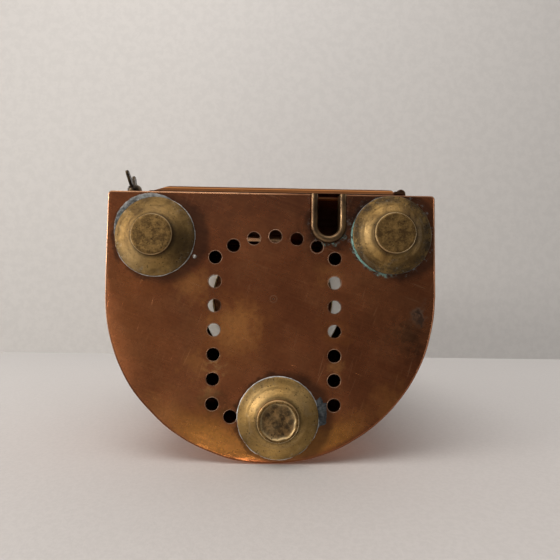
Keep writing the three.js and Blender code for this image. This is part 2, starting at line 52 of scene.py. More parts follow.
# ---------------------------------------------------------------- places, from the frame
PLATE_LO, PLATE_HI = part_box("base_plate")
CASE_R = (PLATE_HI.x - PLATE_LO.x) / 2
AXIS_Y = PLATE_LO.y + CASE_R  # the round front's centre line
BACK = PLATE_HI.y - AXIS_Y  # from that line to the flat back
PLATE_Z = PLATE_LO.z
SHEET = PLATE_HI.z - PLATE_LO.z

VENT_R = 4.1 * MM
VENT_CENTRE = (-2.5 * MM, -22.5 * MM)  # from the centre line
VENT_COLUMN = 38.2 * MM
VENT_PITCH = 15.4 * MM
VENTS_IN_COLUMN = 7
VENT_ARC_R = 59.2 * MM
VENT_ARC_STEP = math.radians(13.4)
LENS_HALF_ARC = math.radians(112.5)

SLOT_LO, SLOT_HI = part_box("slot_liner")
SLOT_X = (SLOT_LO.x + SLOT_HI.x) / 2
LINER_R = (SLOT_HI.x - SLOT_LO.x) / 2
SLOT_Y = SLOT_LO.y + LINER_R - AXIS_Y  # centre of the slot's round end
SLOT_R = 6.9 * MM


def middle(node):
    lo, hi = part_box(node)
    return (lo + hi) / 2


def half_width(node):
    lo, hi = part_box(node)
    return (hi.x - lo.x) / 2


def turns(count):
    """Angles evenly round a circle."""
    return [TAU * k / count for k in range(count)]


def in_scene(name, data):
    """An object with the given data, linked into the scene."""
    obj = bpy.data.objects.new(name, data)
    bpy.context.scene.collection.objects.link(obj)
    return obj


# ---------------------------------------------------------------- camera
VIEW_DISTANCE = 0.267  # from the base plate
VIEW_POINT = (-2.7 * MM, -4.8 * MM)  # where the lantern's own direction passes the camera
PITCH, YAW, ROLL = (math.radians(a) for a in (3.1, -0.7, 0.85))


def make_camera():
    data = bpy.data.cameras.new("camera")
    data.lens = 27
    data.sensor_width = 36
    data.clip_start = 0.01
    camera = in_scene("camera", data)
    upward = Matrix(((-1, 0, 0), (0, 1, 0), (0, 0, -1)))  # looks along +Z with the flat back uppermost
    turn = Euler((PITCH, YAW, ROLL)).to_matrix()
    place = Vector((VIEW_POINT[0], AXIS_Y + VIEW_POINT[1], PLATE_Z - VIEW_DISTANCE))
    camera.matrix_world = Matrix.Translation(place) @ (upward @ turn).to_4x4()
    bpy.context.scene.camera = camera


make_camera()


# ---------------------------------------------------------------- node helpers
class Nodes:
    """A short way to write a node tree."""

    def __init__(self, owner):
        owner.use_nodes = True
        self.tree = owner.node_tree
        self.tree.nodes.clear()

    def add(self, kind, inputs=None, **settings):
        """A shader node with its settings, and its inputs by name or number."""
        node = self.tree.nodes.new("ShaderNode" + kind)
        for key, value in settings.items():
            setattr(node, key, value)
        self.fill(node, inputs or {})
        return node

    def link(self, out, socket):
        self.tree.links.new(out, socket)

    def fill(self, node, inputs):
        """Gives a node's inputs their values or links; None leaves an input as it is."""
        for key, value in inputs.items():
            socket = node.inputs[key]
            if isinstance(value, bpy.types.NodeSocket):
                self.link(value, socket)
            elif isinstance(value, tuple) and len(value) == 3 and socket.type == "RGBA":
                socket.default_value = (*value, 1)
            elif value is not None:
                socket.default_value = value

    def split(self, coordinates):
        """The X, Y and Z of a kind of coordinates."""
        node = self.add("SeparateXYZ")
        self.link(self.add("TexCoord").outputs[coordinates], node.inputs[0])
        return node.outputs

    def span(self, value, low, high, to_low=0.0, to_high=1.0):
        inputs = {"Value": value, "From Min": low, "From Max": high, "To Min": to_low, "To Max": to_high}
        return self.add("MapRange", inputs, interpolation_type="SMOOTHSTEP").outputs[0]

    def maths(self, operation, a, b=0.0):
        return self.add("Math", {0: a, 1: b}, operation=operation).outputs[0]

    def plus(self, a, b):
        return self.maths("ADD", a, b)

    def less(self, a, b):
        return self.maths("SUBTRACT", a, b)

    def times(self, a, b):
        return self.maths("MULTIPLY", a, b)

    def most(self, a, b):
        return self.maths("MAXIMUM", a, b)

    def mix(self, factor, a, b):
        return self.add("Mix", {0: factor, 6: a, 7: b}, data_type="RGBA").outputs[2]

    def band(self, value, low, high):
        """1 between two (start, end) slopes of a value, 0 outside them."""
        return self.times(self.span(value, *low), self.span(value, *high, 1, 0))


class Surface(Nodes):
    """A material with one main shader, whose colour is built up from stains."""

    def __init__(self, name):
        self.material = bpy.data.materials.new(name)
        super().__init__(self.material)
        self.shader = self.add("BsdfPrincipled")
        self.surface = self.add("OutputMaterial").inputs["Surface"]
        self.link(self.shader.outputs[0], self.surface)
        self.place = self.add("TexCoord").outputs["Object"]
        self.colour = None

    def tint(self, factor, tone, other):
        """Starts the colour: from one tone at factor 0 to the other at 1."""
        self.colour = self.mix(factor, tone, other)

    def stain(self, mask, strength, tone):
        self.colour = self.mix(self.times(mask, strength), self.colour, tone)

    def dress(self, rough, normal=None, **others):
        """Fills in the shader; a keyword names one of its other inputs, with _ for a space."""
        self.fill(self.shader, {"Base Color": self.colour, "Roughness": rough, "Normal": normal})
        self.fill(self.shader, {name.replace("_", " "): value for name, value in others.items()})
        return self.material

    def share(self, other, factor):
        """Gives another shader a share of the surface: none at factor 0, all at 1."""
        either = self.add("MixShader", {0: factor, 1: self.shader.outputs[0], 2: other.outputs[0]})
        self.link(either.outputs[0], self.surface)
        return self.material

    def stretched(self, along, across, angle, upward=None):
        """Coordinates whose features run long in one direction of the X-Y plane; counts are per metre."""
        inputs = {"Scale": (1 / along, 1 / across, 1 / (upward or across)), "Rotation": (0, 0, angle),
                  "Vector": self.place}
        return self.add("Mapping", inputs, vector_type="TEXTURE").outputs[0]

    def noise(self, scale, detail=4.0, roughness=0.55, vector=None, distortion=0.0):
        inputs = {"Scale": scale, "Detail": detail, "Roughness": roughness, "Distortion": distortion,
                  "Vector": vector or self.place}
        return self.add("TexNoise", inputs).outputs["Fac"]

    def cloud(self, scale, detail, roughness, low, high, to_low=0.0, to_high=1.0, **others):
        """Noise between two of its levels, stretched to a range."""
        return self.span(self.noise(scale, detail, roughness, **others), low, high, to_low, to_high)

    def cells(self, scale):
        return self.add("TexVoronoi", {"Scale": scale, "Vector": self.place}).outputs["Distance"]

    def near(self, point, inner, outer, ragged=0.0, squash=(1, 1, 1)):
        """1 within inner of a point, 0 beyond outer, with an edge made ragged by noise."""
        shift = self.add("VectorMath", {0: self.place, 1: point}, operation="SUBTRACT")
        scaled = self.add("VectorMath", {0: shift.outputs[0], 1: squash}, operation="MULTIPLY")
        distance = self.add("VectorMath", {0: scaled.outputs[0]}, operation="LENGTH").outputs["Value"]
        if ragged:
            wander = self.times(self.less(self.noise(140, 5, 0.65), 0.5), ragged)
            distance = self.plus(distance, wander)
        return self.span(distance, inner, outer, 1, 0)

    def bump(self, height, distance, strength=1.0, after=None):
        inputs = {"Strength": strength, "Distance": distance, "Height": height, "Normal": after}
        return self.add("Bump", inputs).outputs[0]


# ---------------------------------------------------------------- materials
COPPER_DARK = (0.085, 0.032, 0.019)
COPPER_MID = (0.33, 0.115, 0.048)
COPPER_BRIGHT = (0.62, 0.27, 0.115)
COPPER_WARM = (0.56, 0.19, 0.056)
COPPER_GOLD = (0.95, 0.4, 0.12)
VERDIGRIS = (0.17, 0.33, 0.29)
INK = (0.02, 0.014, 0.011)
DOOR_EDGE_DARK = (0.1, 0.058, 0.036)
DOOR_EDGE_LINE = (0.66, 0.33, 0.15)
SOOT = (0.03, 0.014, 0.01)


def scratches_on(n, angles, low=0.65, high=0.75, upward=None):
    """Fine scratches: each angle gives one direction that they run in."""
    total = None
    for number, angle in enumerate(angles):
        along = n.stretched(28, 620 + 90 * number, math.radians(angle), upward)
        mask = n.cloud(1, 3, 0.5, low, high, vector=along)
        total = mask if total is None else n.most(total, mask)
    return total


def copper(name, wear=0.5, door_bottom_z=None, soot=0.0):
    """Sheet copper: brown patina over orange metal, with rubbed patches, fine scratches and soft waves.

    Given the door's lowest height, it is the door's: its lower edge is darker, with one bright line, and its
    inside is sooted."""
    n = Surface(name)
    blotch = n.cloud(9, 6, 0.62, 0.32, 0.72, 0.25, 1, distortion=0.5)
    cloud = n.cloud(34, 7, 0.68, 0.42, 0.72, distortion=0.3)
    grain = n.cloud(420, 4, 0.6, 0.35, 0.75)
    spots = n.cloud(150, 6, 0.75, 0.62, 0.7)
    n.tint(blotch, COPPER_DARK, COPPER_MID)
    n.stain(cloud, wear, COPPER_BRIGHT)
    n.stain(grain, 0.2, COPPER_DARK)
    n.stain(spots, 0.55, COPPER_DARK)
    if door_bottom_z:
        above = n.less(n.split("Object")["Z"], door_bottom_z)
        # a darker band low on the door's edge, and one bright line along it
        n.stain(n.span(above, 12 * MM, 15 * MM, 1, 0), 0.85, DOOR_EDGE_DARK)
        n.stain(n.band(above, (5.6 * MM, 6.2 * MM), (7 * MM, 7.6 * MM)), 0.85, DOOR_EDGE_LINE)
        n.stain(n.span(n.split("Normal")["Y"], -0.97, -0.92, 1, 0), 0.85, SOOT)
    scratches = scratches_on(n, (25, 118))
    n.stain(scratches, 0.3, COPPER_BRIGHT)
    if soot:
        n.colour = n.mix(soot, n.colour, INK)
    rough = n.plus(n.cloud(60, 6, 0.7, 0.3, 0.75, 0.27, 0.46), n.times(spots, 0.15))
    waves = n.bump(n.noise(24, 2, 0.4), 0.004, 0.12)
    normal = n.bump(n.less(n.noise(700, 3, 0.6), scratches), 0.0002, 0.35, waves)
    return n.dress(rough, normal, Metallic=0.93, Specular_Tint=(0.7, 0.42, 0.28))


def brass(name, light=(0.5, 0.33, 0.125), dark=(0.13, 0.08, 0.034), pits=0.5, rough=(0.28, 0.5)):
    """Old brass: brown gold with a dark bloom, pits and tiny specks."""
    n = Surface(name)
    bloom = n.cloud(55, 6, 0.68, 0.36, 0.68, distortion=0.6)
    specks = n.cloud(330, 5, 0.7, 0.52, 0.72)
    holes = n.times(n.span(n.cells(520), 0.02, 0.2, 1, 0), n.cloud(120, 3, 0.55, 0.48, 0.62))
    n.tint(bloom, light, dark)
    n.stain(specks, 0.45, dark)
    n.stain(holes, pits, INK)
    normal = n.bump(n.noise(480, 5, 0.7), 0.0003, 0.45, n.bump(holes, 0.0006, -pits))
    return n.dress(n.cloud(90, 6, 0.7, 0.3, 0.72, *rough), normal, Metallic=0.92)


# patches of painted light on each foot's bell: painted shade, mostly on the side away from the key light, and
# painted highlights, mostly on the side towards it; x and y in mm from its middle, reach in mm, colour,
# strength
BELL_PAINTED_SHADE = (0.045, 0.03, 0.017)
BELL_PAINTED_HIGHLIGHT = (0.86, 0.58, 0.25)
BELL_PAINTED_LIGHT = (
    ("foot_left", -19, -5, 19, BELL_PAINTED_SHADE, 0.6),
    ("foot_left", 13, -14, 16, BELL_PAINTED_HIGHLIGHT, 0.38),
    ("foot_right", -19, 1, 18, BELL_PAINTED_SHADE, 0.7),
    ("foot_right", 18, -1, 17, BELL_PAINTED_HIGHLIGHT, 0.42),
    ("foot_front", 13, 13, 17, BELL_PAINTED_HIGHLIGHT, 0.5),
    ("foot_front", -14, 13, 15, BELL_PAINTED_HIGHLIGHT, 0.4),
    ("foot_front", -21, 0, 13, BELL_PAINTED_SHADE, 0.35),
    ("foot_front", 16, -10, 15, BELL_PAINTED_SHADE, 0.35),
)


def foot_material():
    """Spun brass: a pitted brown pad with a rubbed rim, a duller cone, a brim darkened by grime and painted
    shade where it meets the plate, and patches of painted shade and painted highlight on each bell.
    """
    n = Surface("foot_brass")
    height = n.split("Object")["Z"]

    def on(foot, inner=27 * MM, outer=30 * MM, ragged=0.0):
        place = middle(foot)
        return n.near((place.x, place.y, 0), inner, outer, ragged)

    pad = n.span(height, 0.35 * MM, 1.6 * MM, 1, 0)
    cloud = n.cloud(70, 7, 0.7, 0.34, 0.68, distortion=0.8)
    n.tint(cloud, (0.4, 0.245, 0.082), (0.13, 0.072, 0.025))
    smear = n.cloud(45, 6, 0.7, 0.57, 0.7, distortion=1.2)
    n.stain(smear, 0.4, (0.4, 0.34, 0.24))
    n.stain(on("foot_left"), 0.35, (0.1, 0.062, 0.028))
    n.stain(on("foot_front"), 0.26, (0.74, 0.46, 0.15))
    # patches of painted shade and painted highlight on each bell
    for foot, x, y, reach, tone, strength in BELL_PAINTED_LIGHT:
        mask = n.near(middle(foot) + Vector((x * MM, y * MM, 0)), 0, reach * MM, 0.008)
        n.stain(mask, strength, tone)
    face = n.mix(n.cloud(190, 9, 0.85, 0.4, 0.62), (0.11, 0.062, 0.023), (0.35, 0.21, 0.072))
    n.colour = n.mix(pad, n.colour, face)
    torn = on("foot_front", 10.4 * MM, 11.6 * MM, 0.004)
    rust = n.mix(n.cloud(230, 8, 0.8, 0.4, 0.62), (0.055, 0.034, 0.018), (0.33, 0.195, 0.08))
    n.colour = n.mix(torn, n.colour, rust)
    groove = n.band(height, (1.6 * MM, 2.7 * MM), (3.3 * MM, 4.3 * MM))
    n.stain(groove, 0.6, INK)
    # the brim darkened by grime and painted shade where it meets the plate, more widely on the right foot
    grime_and_shade = n.times(n.span(height, 7.6 * MM, 9.0 * MM), n.cloud(60, 6, 0.7, 0.38, 0.62))
    wide = n.times(n.span(height, 6.2 * MM, 8.2 * MM), n.cloud(150, 7, 0.8, 0.4, 0.56))
    grime_and_shade = n.most(grime_and_shade, n.times(wide, on("foot_right")))
    n.stain(grime_and_shade, 0.75, (0.05, 0.036, 0.026))
    flecks = n.times(n.span(height, 6 * MM, 8.4 * MM), n.cloud(300, 8, 0.85, 0.56, 0.64))
    n.stain(flecks, 0.5, (0.4, 0.38, 0.32))
    rubbed_line = n.band(height, (0.2 * MM, 0.6 * MM), (0.9 * MM, 1.7 * MM))
    n.stain(rubbed_line, 0.85, (0.8, 0.6, 0.32))
    holes = n.times(n.span(n.cells(430), 0.05, 0.26, 1, 0), n.cloud(110, 4, 0.6, 0.4, 0.54))
    n.stain(holes, 0.9, INK)
    n.stain(n.cloud(620, 6, 0.8, 0.5, 0.66), 0.4, (0.07, 0.045, 0.02))
    rough = n.cloud(90, 6, 0.7, 0.3, 0.72, 0.4, 0.58)
    rough = n.plus(rough, n.times(n.most(pad, torn), 0.08))
    normal = n.bump(holes, 0.0008, -0.8, n.bump(n.noise(240, 6, 0.75), 0.0007, 0.6))
    return n.dress(rough, normal, Metallic=0.9)


def solder_material(name, dark, light):
    n = Surface(name)
    n.tint(n.cloud(260, 5, 0.7, 0.35, 0.7), dark, light)
    n.stain(n.cloud(120, 4, 0.6, 0.57, 0.72), 0.4, VERDIGRIS)
    rough = n.cloud(200, 5, 0.7, 0.3, 0.7, 0.34, 0.62)
    return n.dress(rough, n.bump(n.noise(420, 5, 0.7), 0.0005, 0.7), Metallic=0.55)


def verdigris_material():
    n = Surface("verdigris")
    n.tint(n.cloud(300, 6, 0.75, 0.36, 0.56), (0.03, 0.045, 0.04), (0.24, 0.43, 0.38))
    return n.dress(0.85, n.bump(n.noise(600, 6, 0.75), 0.0006, 0.9))


def dark_metal():
    n = Surface("catch_metal")
    n.tint(n.cloud(300, 5, 0.7, 0.42, 0.66), (0.022, 0.015, 0.01), (0.12, 0.082, 0.045))
    rough = n.cloud(240, 4, 0.55, 0.3, 0.7, 0.3, 0.55)
    return n.dress(rough, n.bump(n.noise(500, 5, 0.7), 0.0003, 0.5), Metallic=0.85)


def glass_material(name, tint, rough, milky):
    """Old glass, whose scratches and salt spread the milky share of the light where it is seen edge-on."""
    n = Surface(name)
    rough = n.cloud(90, 5, 0.7, 0.4, 0.75, rough, rough + 0.1)
    n.colour = tint
    n.dress(rough, n.bump(n.noise(35, 2), 0.0006, 0.15), Transmission_Weight=1.0, IOR=1.47)
    spread = n.add("BsdfTranslucent", {"Color": tint})
    edge_on = n.add("LayerWeight").outputs["Facing"]
    return n.share(spread, n.span(edge_on, 0.5, 0.85, 0.06, milky))


def cotton_material():
    n = Surface("wick_cotton")
    inputs = {"Scale": 900, "Distortion": 1.5, "Vector": n.place}
    threads = n.add("TexWave", inputs, wave_type="BANDS", bands_direction="DIAGONAL").outputs["Fac"]
    char = n.near((0, AXIS_Y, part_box("wick")[1].z), 0.004, 0.012, 0.003)
    n.tint(char, n.mix(threads, (0.5, 0.44, 0.33), (0.72, 0.66, 0.54)), (0.02, 0.018, 0.016))
    return n.dress(0.95, n.bump(threads, 0.0004, 0.8))


# the base plate's stains and painted light: x and y in mm from the centre line, reach in mm, colour,
# strength. The bright orange and gold patches, low on the round front, by the vents and to the left, are
# painted highlights and reflections; the broad darkening on the right is painted shade; the rest are stains
PLATE_STAINS_AND_PAINTED_LIGHT = (
    (92, -30, 50, COPPER_WARM, 0.3),
    (38, -92, 30, (0.78, 0.31, 0.07), 0.95),
    (66, -76, 22, (0.66, 0.27, 0.085), 0.55),
    (-20, -98, 24, (0.7, 0.27, 0.085), 0.75),
    (-76, -68, 20, (0.66, 0.25, 0.075), 0.75),
    (24, -24, 34, COPPER_WARM, 0.8),
    (22, -20, 21, COPPER_GOLD, 0.6),
    (50, 6, 16, COPPER_GOLD, 0.45),
    (-37, 14, 12, COPPER_GOLD, 0.3),
    (35, -43, 8, (1, 0.56, 0.22), 0.75),
    (37, -60, 8, (1, 0.5, 0.18), 0.5),
    (-42, -46, 7, (0.9, 0.42, 0.14), 0.4),
    (-30, 30, 18, COPPER_DARK, 0.3),
    (33, -68, 13, (0.05, 0.026, 0.016), 0.55),
    (-34, -86, 30, COPPER_WARM, 0.7),
    (-42, -24, 14, COPPER_WARM, 0.6),
    (46, -44, 12, (0.72, 0.28, 0.085), 0.6),
    (88, 10, 34, COPPER_WARM, 0.35),
    (-92, 2, 60, COPPER_DARK, 0.25),
    (-8, 74, 62, (0.13, 0.056, 0.038), 0.5),
    (45, 60, 40, (0.14, 0.062, 0.044), 0.4),
    (-60, 62, 46, (0.045, 0.024, 0.02), 0.7),
    (-87, -26, 17, (0.05, 0.026, 0.018), 0.75),
    (-96, -12, 7, (0.42, 0.3, 0.22), 0.6),
    (-96, -14, 3, (0.08, 0.05, 0.04), 0.8),
)


def crust(n, centre, inner, outer, around, reach):
    """A ragged ring of deposit round a centre, kept to the neighbourhood of one point."""
    disc = n.near(centre, outer, outer + 1.2 * MM, 0.01)
    ring = n.less(disc, n.near(centre, inner - MM, inner))
    return n.times(ring, n.near(around, reach * 0.6, reach, 0.012))


def plate_material():
    """The base plate's copper with its own stains, solder smears, verdigris and scribed centre, painted
    highlights and reflections low on the round front and to the left, and painted shade to the right and
    beside each foot.
    """
    n = Surface("plate_copper")
    cloud = n.cloud(13, 6, 0.62, 0.33, 0.72, distortion=0.5)
    n.tint(cloud, (0.29, 0.088, 0.036), (0.47, 0.155, 0.06))
    # stains, painted highlights and reflections, and painted shade, from the table above
    for x, y, reach, tone, strength in PLATE_STAINS_AND_PAINTED_LIGHT:
        mask = n.near((x * MM, AXIS_Y + y * MM, PLATE_Z), 0, reach * MM, 0.035)
        n.stain(mask, strength, tone)
    axis = (0, AXIS_Y, PLATE_Z)
    # a painted highlight along the lower part of the round front's edge
    painted_rim_highlight = n.less(n.near(axis, 101 * MM, 104 * MM), n.near(axis, 86 * MM, 95 * MM, 0.016))
    low_down = n.near((0, AXIS_Y - 110 * MM, PLATE_Z), 45 * MM, 80 * MM)
    n.stain(n.times(painted_rim_highlight, low_down), 0.75, (0.88, 0.37, 0.085))
    cloud = n.cloud(30, 7, 0.68, 0.45, 0.72, distortion=0.4)
    brushed = n.cloud(1, 4, 0.6, 0.42, 0.66, vector=n.stretched(30, 1500, math.radians(20), 1))
    scratches = scratches_on(n, (20, 112, 104), 0.66, 0.76, 1)
    n.stain(cloud, 0.22, COPPER_BRIGHT)
    n.stain(n.cloud(520, 4, 0.6, 0.4, 0.75), 0.22, COPPER_DARK)
    n.stain(brushed, 0.14, COPPER_BRIGHT)
    n.stain(scratches, 0.3, (0.66, 0.38, 0.21))
    centre = (-1.8 * MM, AXIS_Y - 2.4 * MM, PLATE_Z)
    for radius in (0.5 * MM, 2.1 * MM):
        scribe = n.less(n.near(centre, radius + 0.16 * MM, radius + 0.3 * MM),
                         n.near(centre, radius - 0.14 * MM, radius))
        n.stain(scribe, 0.5, (0.66, 0.42, 0.27))
    grime_and_shade = n.near(centre, 0, MM)
    for foot in ("foot_left", "foot_right", "foot_front"):
        place = middle(foot)
        place.z = PLATE_Z
        around = n.near(place, 26.2 * MM, 29 * MM, 0.012)
        # a painted shadow beside each foot, on the side away from the key light
        painted_shadow = n.near(place + Vector((-6 * MM, -0.5 * MM, 0)), 25.5 * MM, 32 * MM, 0.006)
        grime_and_shade = n.most(n.most(grime_and_shade, n.times(around, 0.8)), n.times(painted_shadow, 0.8))
    slot_end = Vector((SLOT_X, AXIS_Y + SLOT_Y, PLATE_Z))
    grime_and_shade = n.most(grime_and_shade, n.times(n.near(slot_end, 12.5 * MM, 20 * MM, 0.02), 0.75))
    # dark rings round each foot's joint, darkening round the slot's end and a dark dot at the scribed centre,
    # with the painted shadows beside the feet
    n.stain(grime_and_shade, 0.85, (0.03, 0.02, 0.016))
    foot = middle("foot_right")
    foot.z = PLATE_Z
    green = crust(n, foot, 25 * MM, 26.8 * MM, foot + Vector((17 * MM, -18 * MM, 0)), 24 * MM)
    under_slot = crust(n, slot_end, 11.4 * MM, 13 * MM, slot_end + Vector((-4 * MM, -12 * MM, 0)), 13 * MM)
    green = n.times(n.most(green, under_slot), n.cloud(210, 6, 0.75, 0.44, 0.58))
    n.stain(green, 0.8, VERDIGRIS)
    scum = n.most(n.near(foot, 27 * MM, 29.5 * MM, 0.01), n.near(slot_end, 12.2 * MM, 14.5 * MM, 0.008))
    beside = n.times(n.near(slot_end, 12.4 * MM, 14.4 * MM, 0.008, (1, 0, 1)),
                     n.span(n.split("Object")["Y"], slot_end.y - 2 * MM, slot_end.y))
    scum = n.times(n.most(scum, beside), n.cloud(330, 7, 0.8, 0.53, 0.63))
    n.stain(scum, 0.6, (0.42, 0.44, 0.41))
    metal = n.less(0.94, n.times(green, 0.8))
    dull = n.most(green, n.times(grime_and_shade, 0.35))
    rough = n.plus(n.cloud(70, 6, 0.7, 0.3, 0.75, 0.19, 0.33), n.times(dull, 0.4))
    fine = n.less(n.noise(800, 3, 0.6), n.plus(scratches, n.times(brushed, 0.3)))
    waves = n.bump(n.noise(30, 3, 0.5), 0.004, 0.14)
    return n.dress(rough, n.bump(n.plus(fine, green), 0.00015, 0.4, waves), Metallic=metal)


def edge_material():
    """The base plate's edge: a painted highlight along the back and the side towards the key light, brown on
    the round front.
    """
    n = Surface("plate_edge")
    side = n.span(n.split("Object")["X"], -30 * MM, 40 * MM, 0.35, 1)
    high = n.span(n.split("Object")["Y"], AXIS_Y - 55 * MM, AXIS_Y - 10 * MM)
    # a painted highlight on the edge, strongest along the back and on the side towards the key light
    painted_edge_highlight = n.times(n.times(side, high), n.cloud(60, 5, 0.7, 0.3, 0.6, 0.45, 1))
    n.tint(painted_edge_highlight, (0.2, 0.07, 0.03), (0.85, 0.46, 0.26))
    rough = n.span(painted_edge_highlight, 0.2, 0.8, 0.5, 0.26)
    return n.dress(rough, n.bump(n.noise(500, 4, 0.6), 0.0002, 0.4), Metallic=0.94)


# each finish: the record's material slot that it belongs to, and its material
FINISHES = {
    "plate": ("copper", plate_material()),
    "copper": ("copper", copper("copper")),
    "copper_inside": ("copper", copper("copper_inside", 0.25, soot=0.6)),
    "door_copper": ("copper", copper("door_copper", 0.45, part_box("door")[0].z)),
    "worn_edge": ("copper", brass("worn_edge", (0.5, 0.32, 0.22), (0.13, 0.065, 0.04), 0.2, (0.35, 0.5))),
    "plate_edge": ("copper", edge_material()),
    "rail_copper": ("copper", brass("rail_copper", (1, 0.64, 0.4), (0.97, 0.54, 0.32), 0.1, (0.16, 0.26))),
    "brass": ("brass", brass("brass")),
    "foot_brass": ("brass", foot_material()),
    "liner_brass": ("brass", brass("liner_brass", (0.29, 0.18, 0.09), (0.07, 0.043, 0.025), 0.8,
                                   (0.28, 0.46))),
    "pin_brass": ("brass", brass("pin_brass", (0.2, 0.1, 0.05), (0.06, 0.035, 0.02))),
    "solder_bright": ("brass", solder_material("solder_bright", (0.4, 0.39, 0.37), (0.8, 0.79, 0.76))),
    "solder_dull": ("brass", solder_material("solder_dull", (0.07, 0.07, 0.07), (0.33, 0.33, 0.32))),
    "solder_slate": ("brass", solder_material("solder_slate", (0.025, 0.028, 0.032), (0.13, 0.14, 0.15))),
    "verdigris": ("brass", verdigris_material()),
    "catch_metal": ("catch_metal", dark_metal()),
    "lens_glass": ("glass", glass_material("lens_glass", (0.98, 0.97, 0.93), 0.02, 0.62)),
    "lamp_glass": ("glass", glass_material("lamp_glass", (0.97, 0.97, 0.95), 0.01, 0.1)),
    "cotton": ("wick_cotton", cotton_material()),
}


# ---------------------------------------------------------------- mesh helpers
# a shape is a list of points and a list of faces
def new_object(name, shape, sharp=38, bevel=0.0, weld=True):
    """A mesh object with its faces pointing out and, where bevel is given, its sharp edges rounded."""
    verts, faces = shape
    mesh = bpy.data.meshes.new(name)
    mesh.from_pydata([tuple(v) for v in verts], [], faces)
    bm = bmesh.new()
    bm.from_mesh(mesh)
    if weld:
        bmesh.ops.remove_doubles(bm, verts=bm.verts, dist=1e-6)
    bmesh.ops.dissolve_degenerate(bm, edges=bm.edges, dist=1e-7)
    bmesh.ops.recalc_face_normals(bm, faces=bm.faces)
    if bevel:
        limit = math.radians(sharp)
        corners = [e for e in bm.edges if len(e.link_faces) == 2 and e.calc_face_angle(0) > limit]
        bmesh.ops.bevel(bm, geom=corners, offset=bevel, segments=2, affect="EDGES", profile=0.6,
                        clamp_overlap=True)
    bm.to_mesh(mesh)
    bm.free()
    return in_scene(name, mesh)


def piece(name, shape, finish, body="case", replaces=(), sharp=38, bevel=0.0, weld=True):
    """A finished mesh object that rides on a body and stands for the CAD nodes that it replaces."""
    obj = new_object(name, shape, sharp, bevel, weld)
    slot, material = FINISHES[finish]
    obj.data.materials.append(material)
    obj.data.polygons.foreach_set("use_smooth", [True] * len(obj.data.polygons))
    obj.data.set_sharp_from_angle(angle=math.radians(sharp))
    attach(obj, body)
    if replaces:
        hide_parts(*replaces)
    return obj


def carve(obj, *tools):
    """Cuts shapes out of a piece."""
    cutters = [new_object("cutter", tool) for tool in tools]
    for cutter in cutters:
        modifier = obj.modifiers.new("carve", "BOOLEAN")
        modifier.object = cutter
        modifier.operation = "DIFFERENCE"
        modifier.solver = "EXACT"
    bpy.context.view_layer.update()
    result = bpy.data.meshes.new_from_object(obj.evaluated_get(bpy.context.evaluated_depsgraph_get()))
    obj.modifiers.clear()
    old = obj.data
    obj.data = result
    bpy.data.meshes.remove(old)
    obj.data.set_sharp_from_angle(angle=math.radians(38))
    for cutter in cutters:
        bpy.data.objects.remove(cutter)


def mm(points, along=0.0, up=0.0):
    """Points given in mm from (along, up)."""
    return [(along + a * MM, up + b * MM) for a, b in points]


def arc(centre, radius, a0, a1, steps):
    return [(centre[0] + radius * math.cos(a0 + (a1 - a0) * k / steps),
             centre[1] + radius * math.sin(a0 + (a1 - a0) * k / steps)) for k in range(steps + 1)]


def strips(rings, closed_ring=True, closed_loop=False, caps=False):
    """The shape between rings of points of equal count, given in order."""
    count = len(rings[0])
    faces = []
    for r in range(len(rings) if closed_loop else len(rings) - 1):
        this, after = r * count, (r + 1) % len(rings) * count
        for i in range(count if closed_ring else count - 1):
            j = (i + 1) % count
            faces.append((this + i, this + j, after + j, after + i))
    if caps:
        faces.append(tuple(range(count)))
        faces.append(tuple((len(rings) - 1) * count + i for i in range(count)))
    return [v for ring in rings for v in ring], faces


def lathe(profile, segments=64, wobble=None, start=0.0, sweep=TAU):
    """Points (radius, height) turned about Z; wobble(angle, r, z) may move them. A part turn is capped."""
    whole = sweep > TAU - 1e-6
    rings = []
    for k in range(segments if whole else segments + 1):
        angle = start + sweep * k / segments
        ring = []
        for r, z in profile:
            dr, dz = wobble(angle, r, z) if wobble else (0, 0)
            ring.append(Vector(((r + dr) * math.cos(angle), (r + dr) * math.sin(angle), z + dz)))
        rings.append(ring)
    on_axis = profile[0][0] < 1e-9
    return strips(rings, closed_ring=not on_axis, closed_loop=whole, caps=not whole)


def tube(path, radius, sides=16):
    """A round bar along a list of points."""
    rings = []
    for k, p in enumerate(path):
        ahead = (path[min(k + 1, len(path) - 1)] - path[max(k - 1, 0)]).normalized()
        side = ahead.cross(Vector((0, 0, 1)))
        side = side.normalized() if side.length > 1e-3 else Vector((1, 0, 0))
        over = side.cross(ahead).normalized()
        rings.append([p + side * radius * math.cos(a) + over * radius * math.sin(a) for a in turns(sides)])
    return strips(rings, caps=True)


def block(lo, hi):
    xs, ys, zs = zip(lo, hi)
    verts = [Vector((x, y, z)) for z in zs for y in ys for x in xs]
    return verts, [(0, 1, 3, 2), (4, 6, 7, 5), (0, 4, 5, 1), (2, 3, 7, 6), (0, 2, 6, 4), (1, 5, 7, 3)]


FACING_BACK = Matrix.Rotation(math.radians(-90), 3, "X")  # an axis along Z becomes one along +Y
ALONG_X = Matrix.Rotation(math.radians(90), 3, "Y")


def moved(shape, place=(0, 0, 0), turn=None):
    turn = turn or Matrix.Identity(3)
    return [turn @ Vector(v) + Vector(place) for v in shape[0]], shape[1]


def joined(*shapes):
    verts, faces = [], []
    for more_verts, more_faces in shapes:
        base = len(verts)
        verts += [Vector(v) for v in more_verts]
        faces += [tuple(i + base for i in f) for f in more_faces]
    return verts, faces


def normals(path):
    """The unit normals, to the right of the direction of travel, of a path of (x, y) points."""
    found = []
    for k in range(len(path)):
        (ax, ay), (bx, by) = path[max(k - 1, 0)], path[min(k + 1, len(path) - 1)]
        length = math.hypot(bx - ax, by - ay)
        found.append(((by - ay) / length, -(bx - ax) / length))
    return found


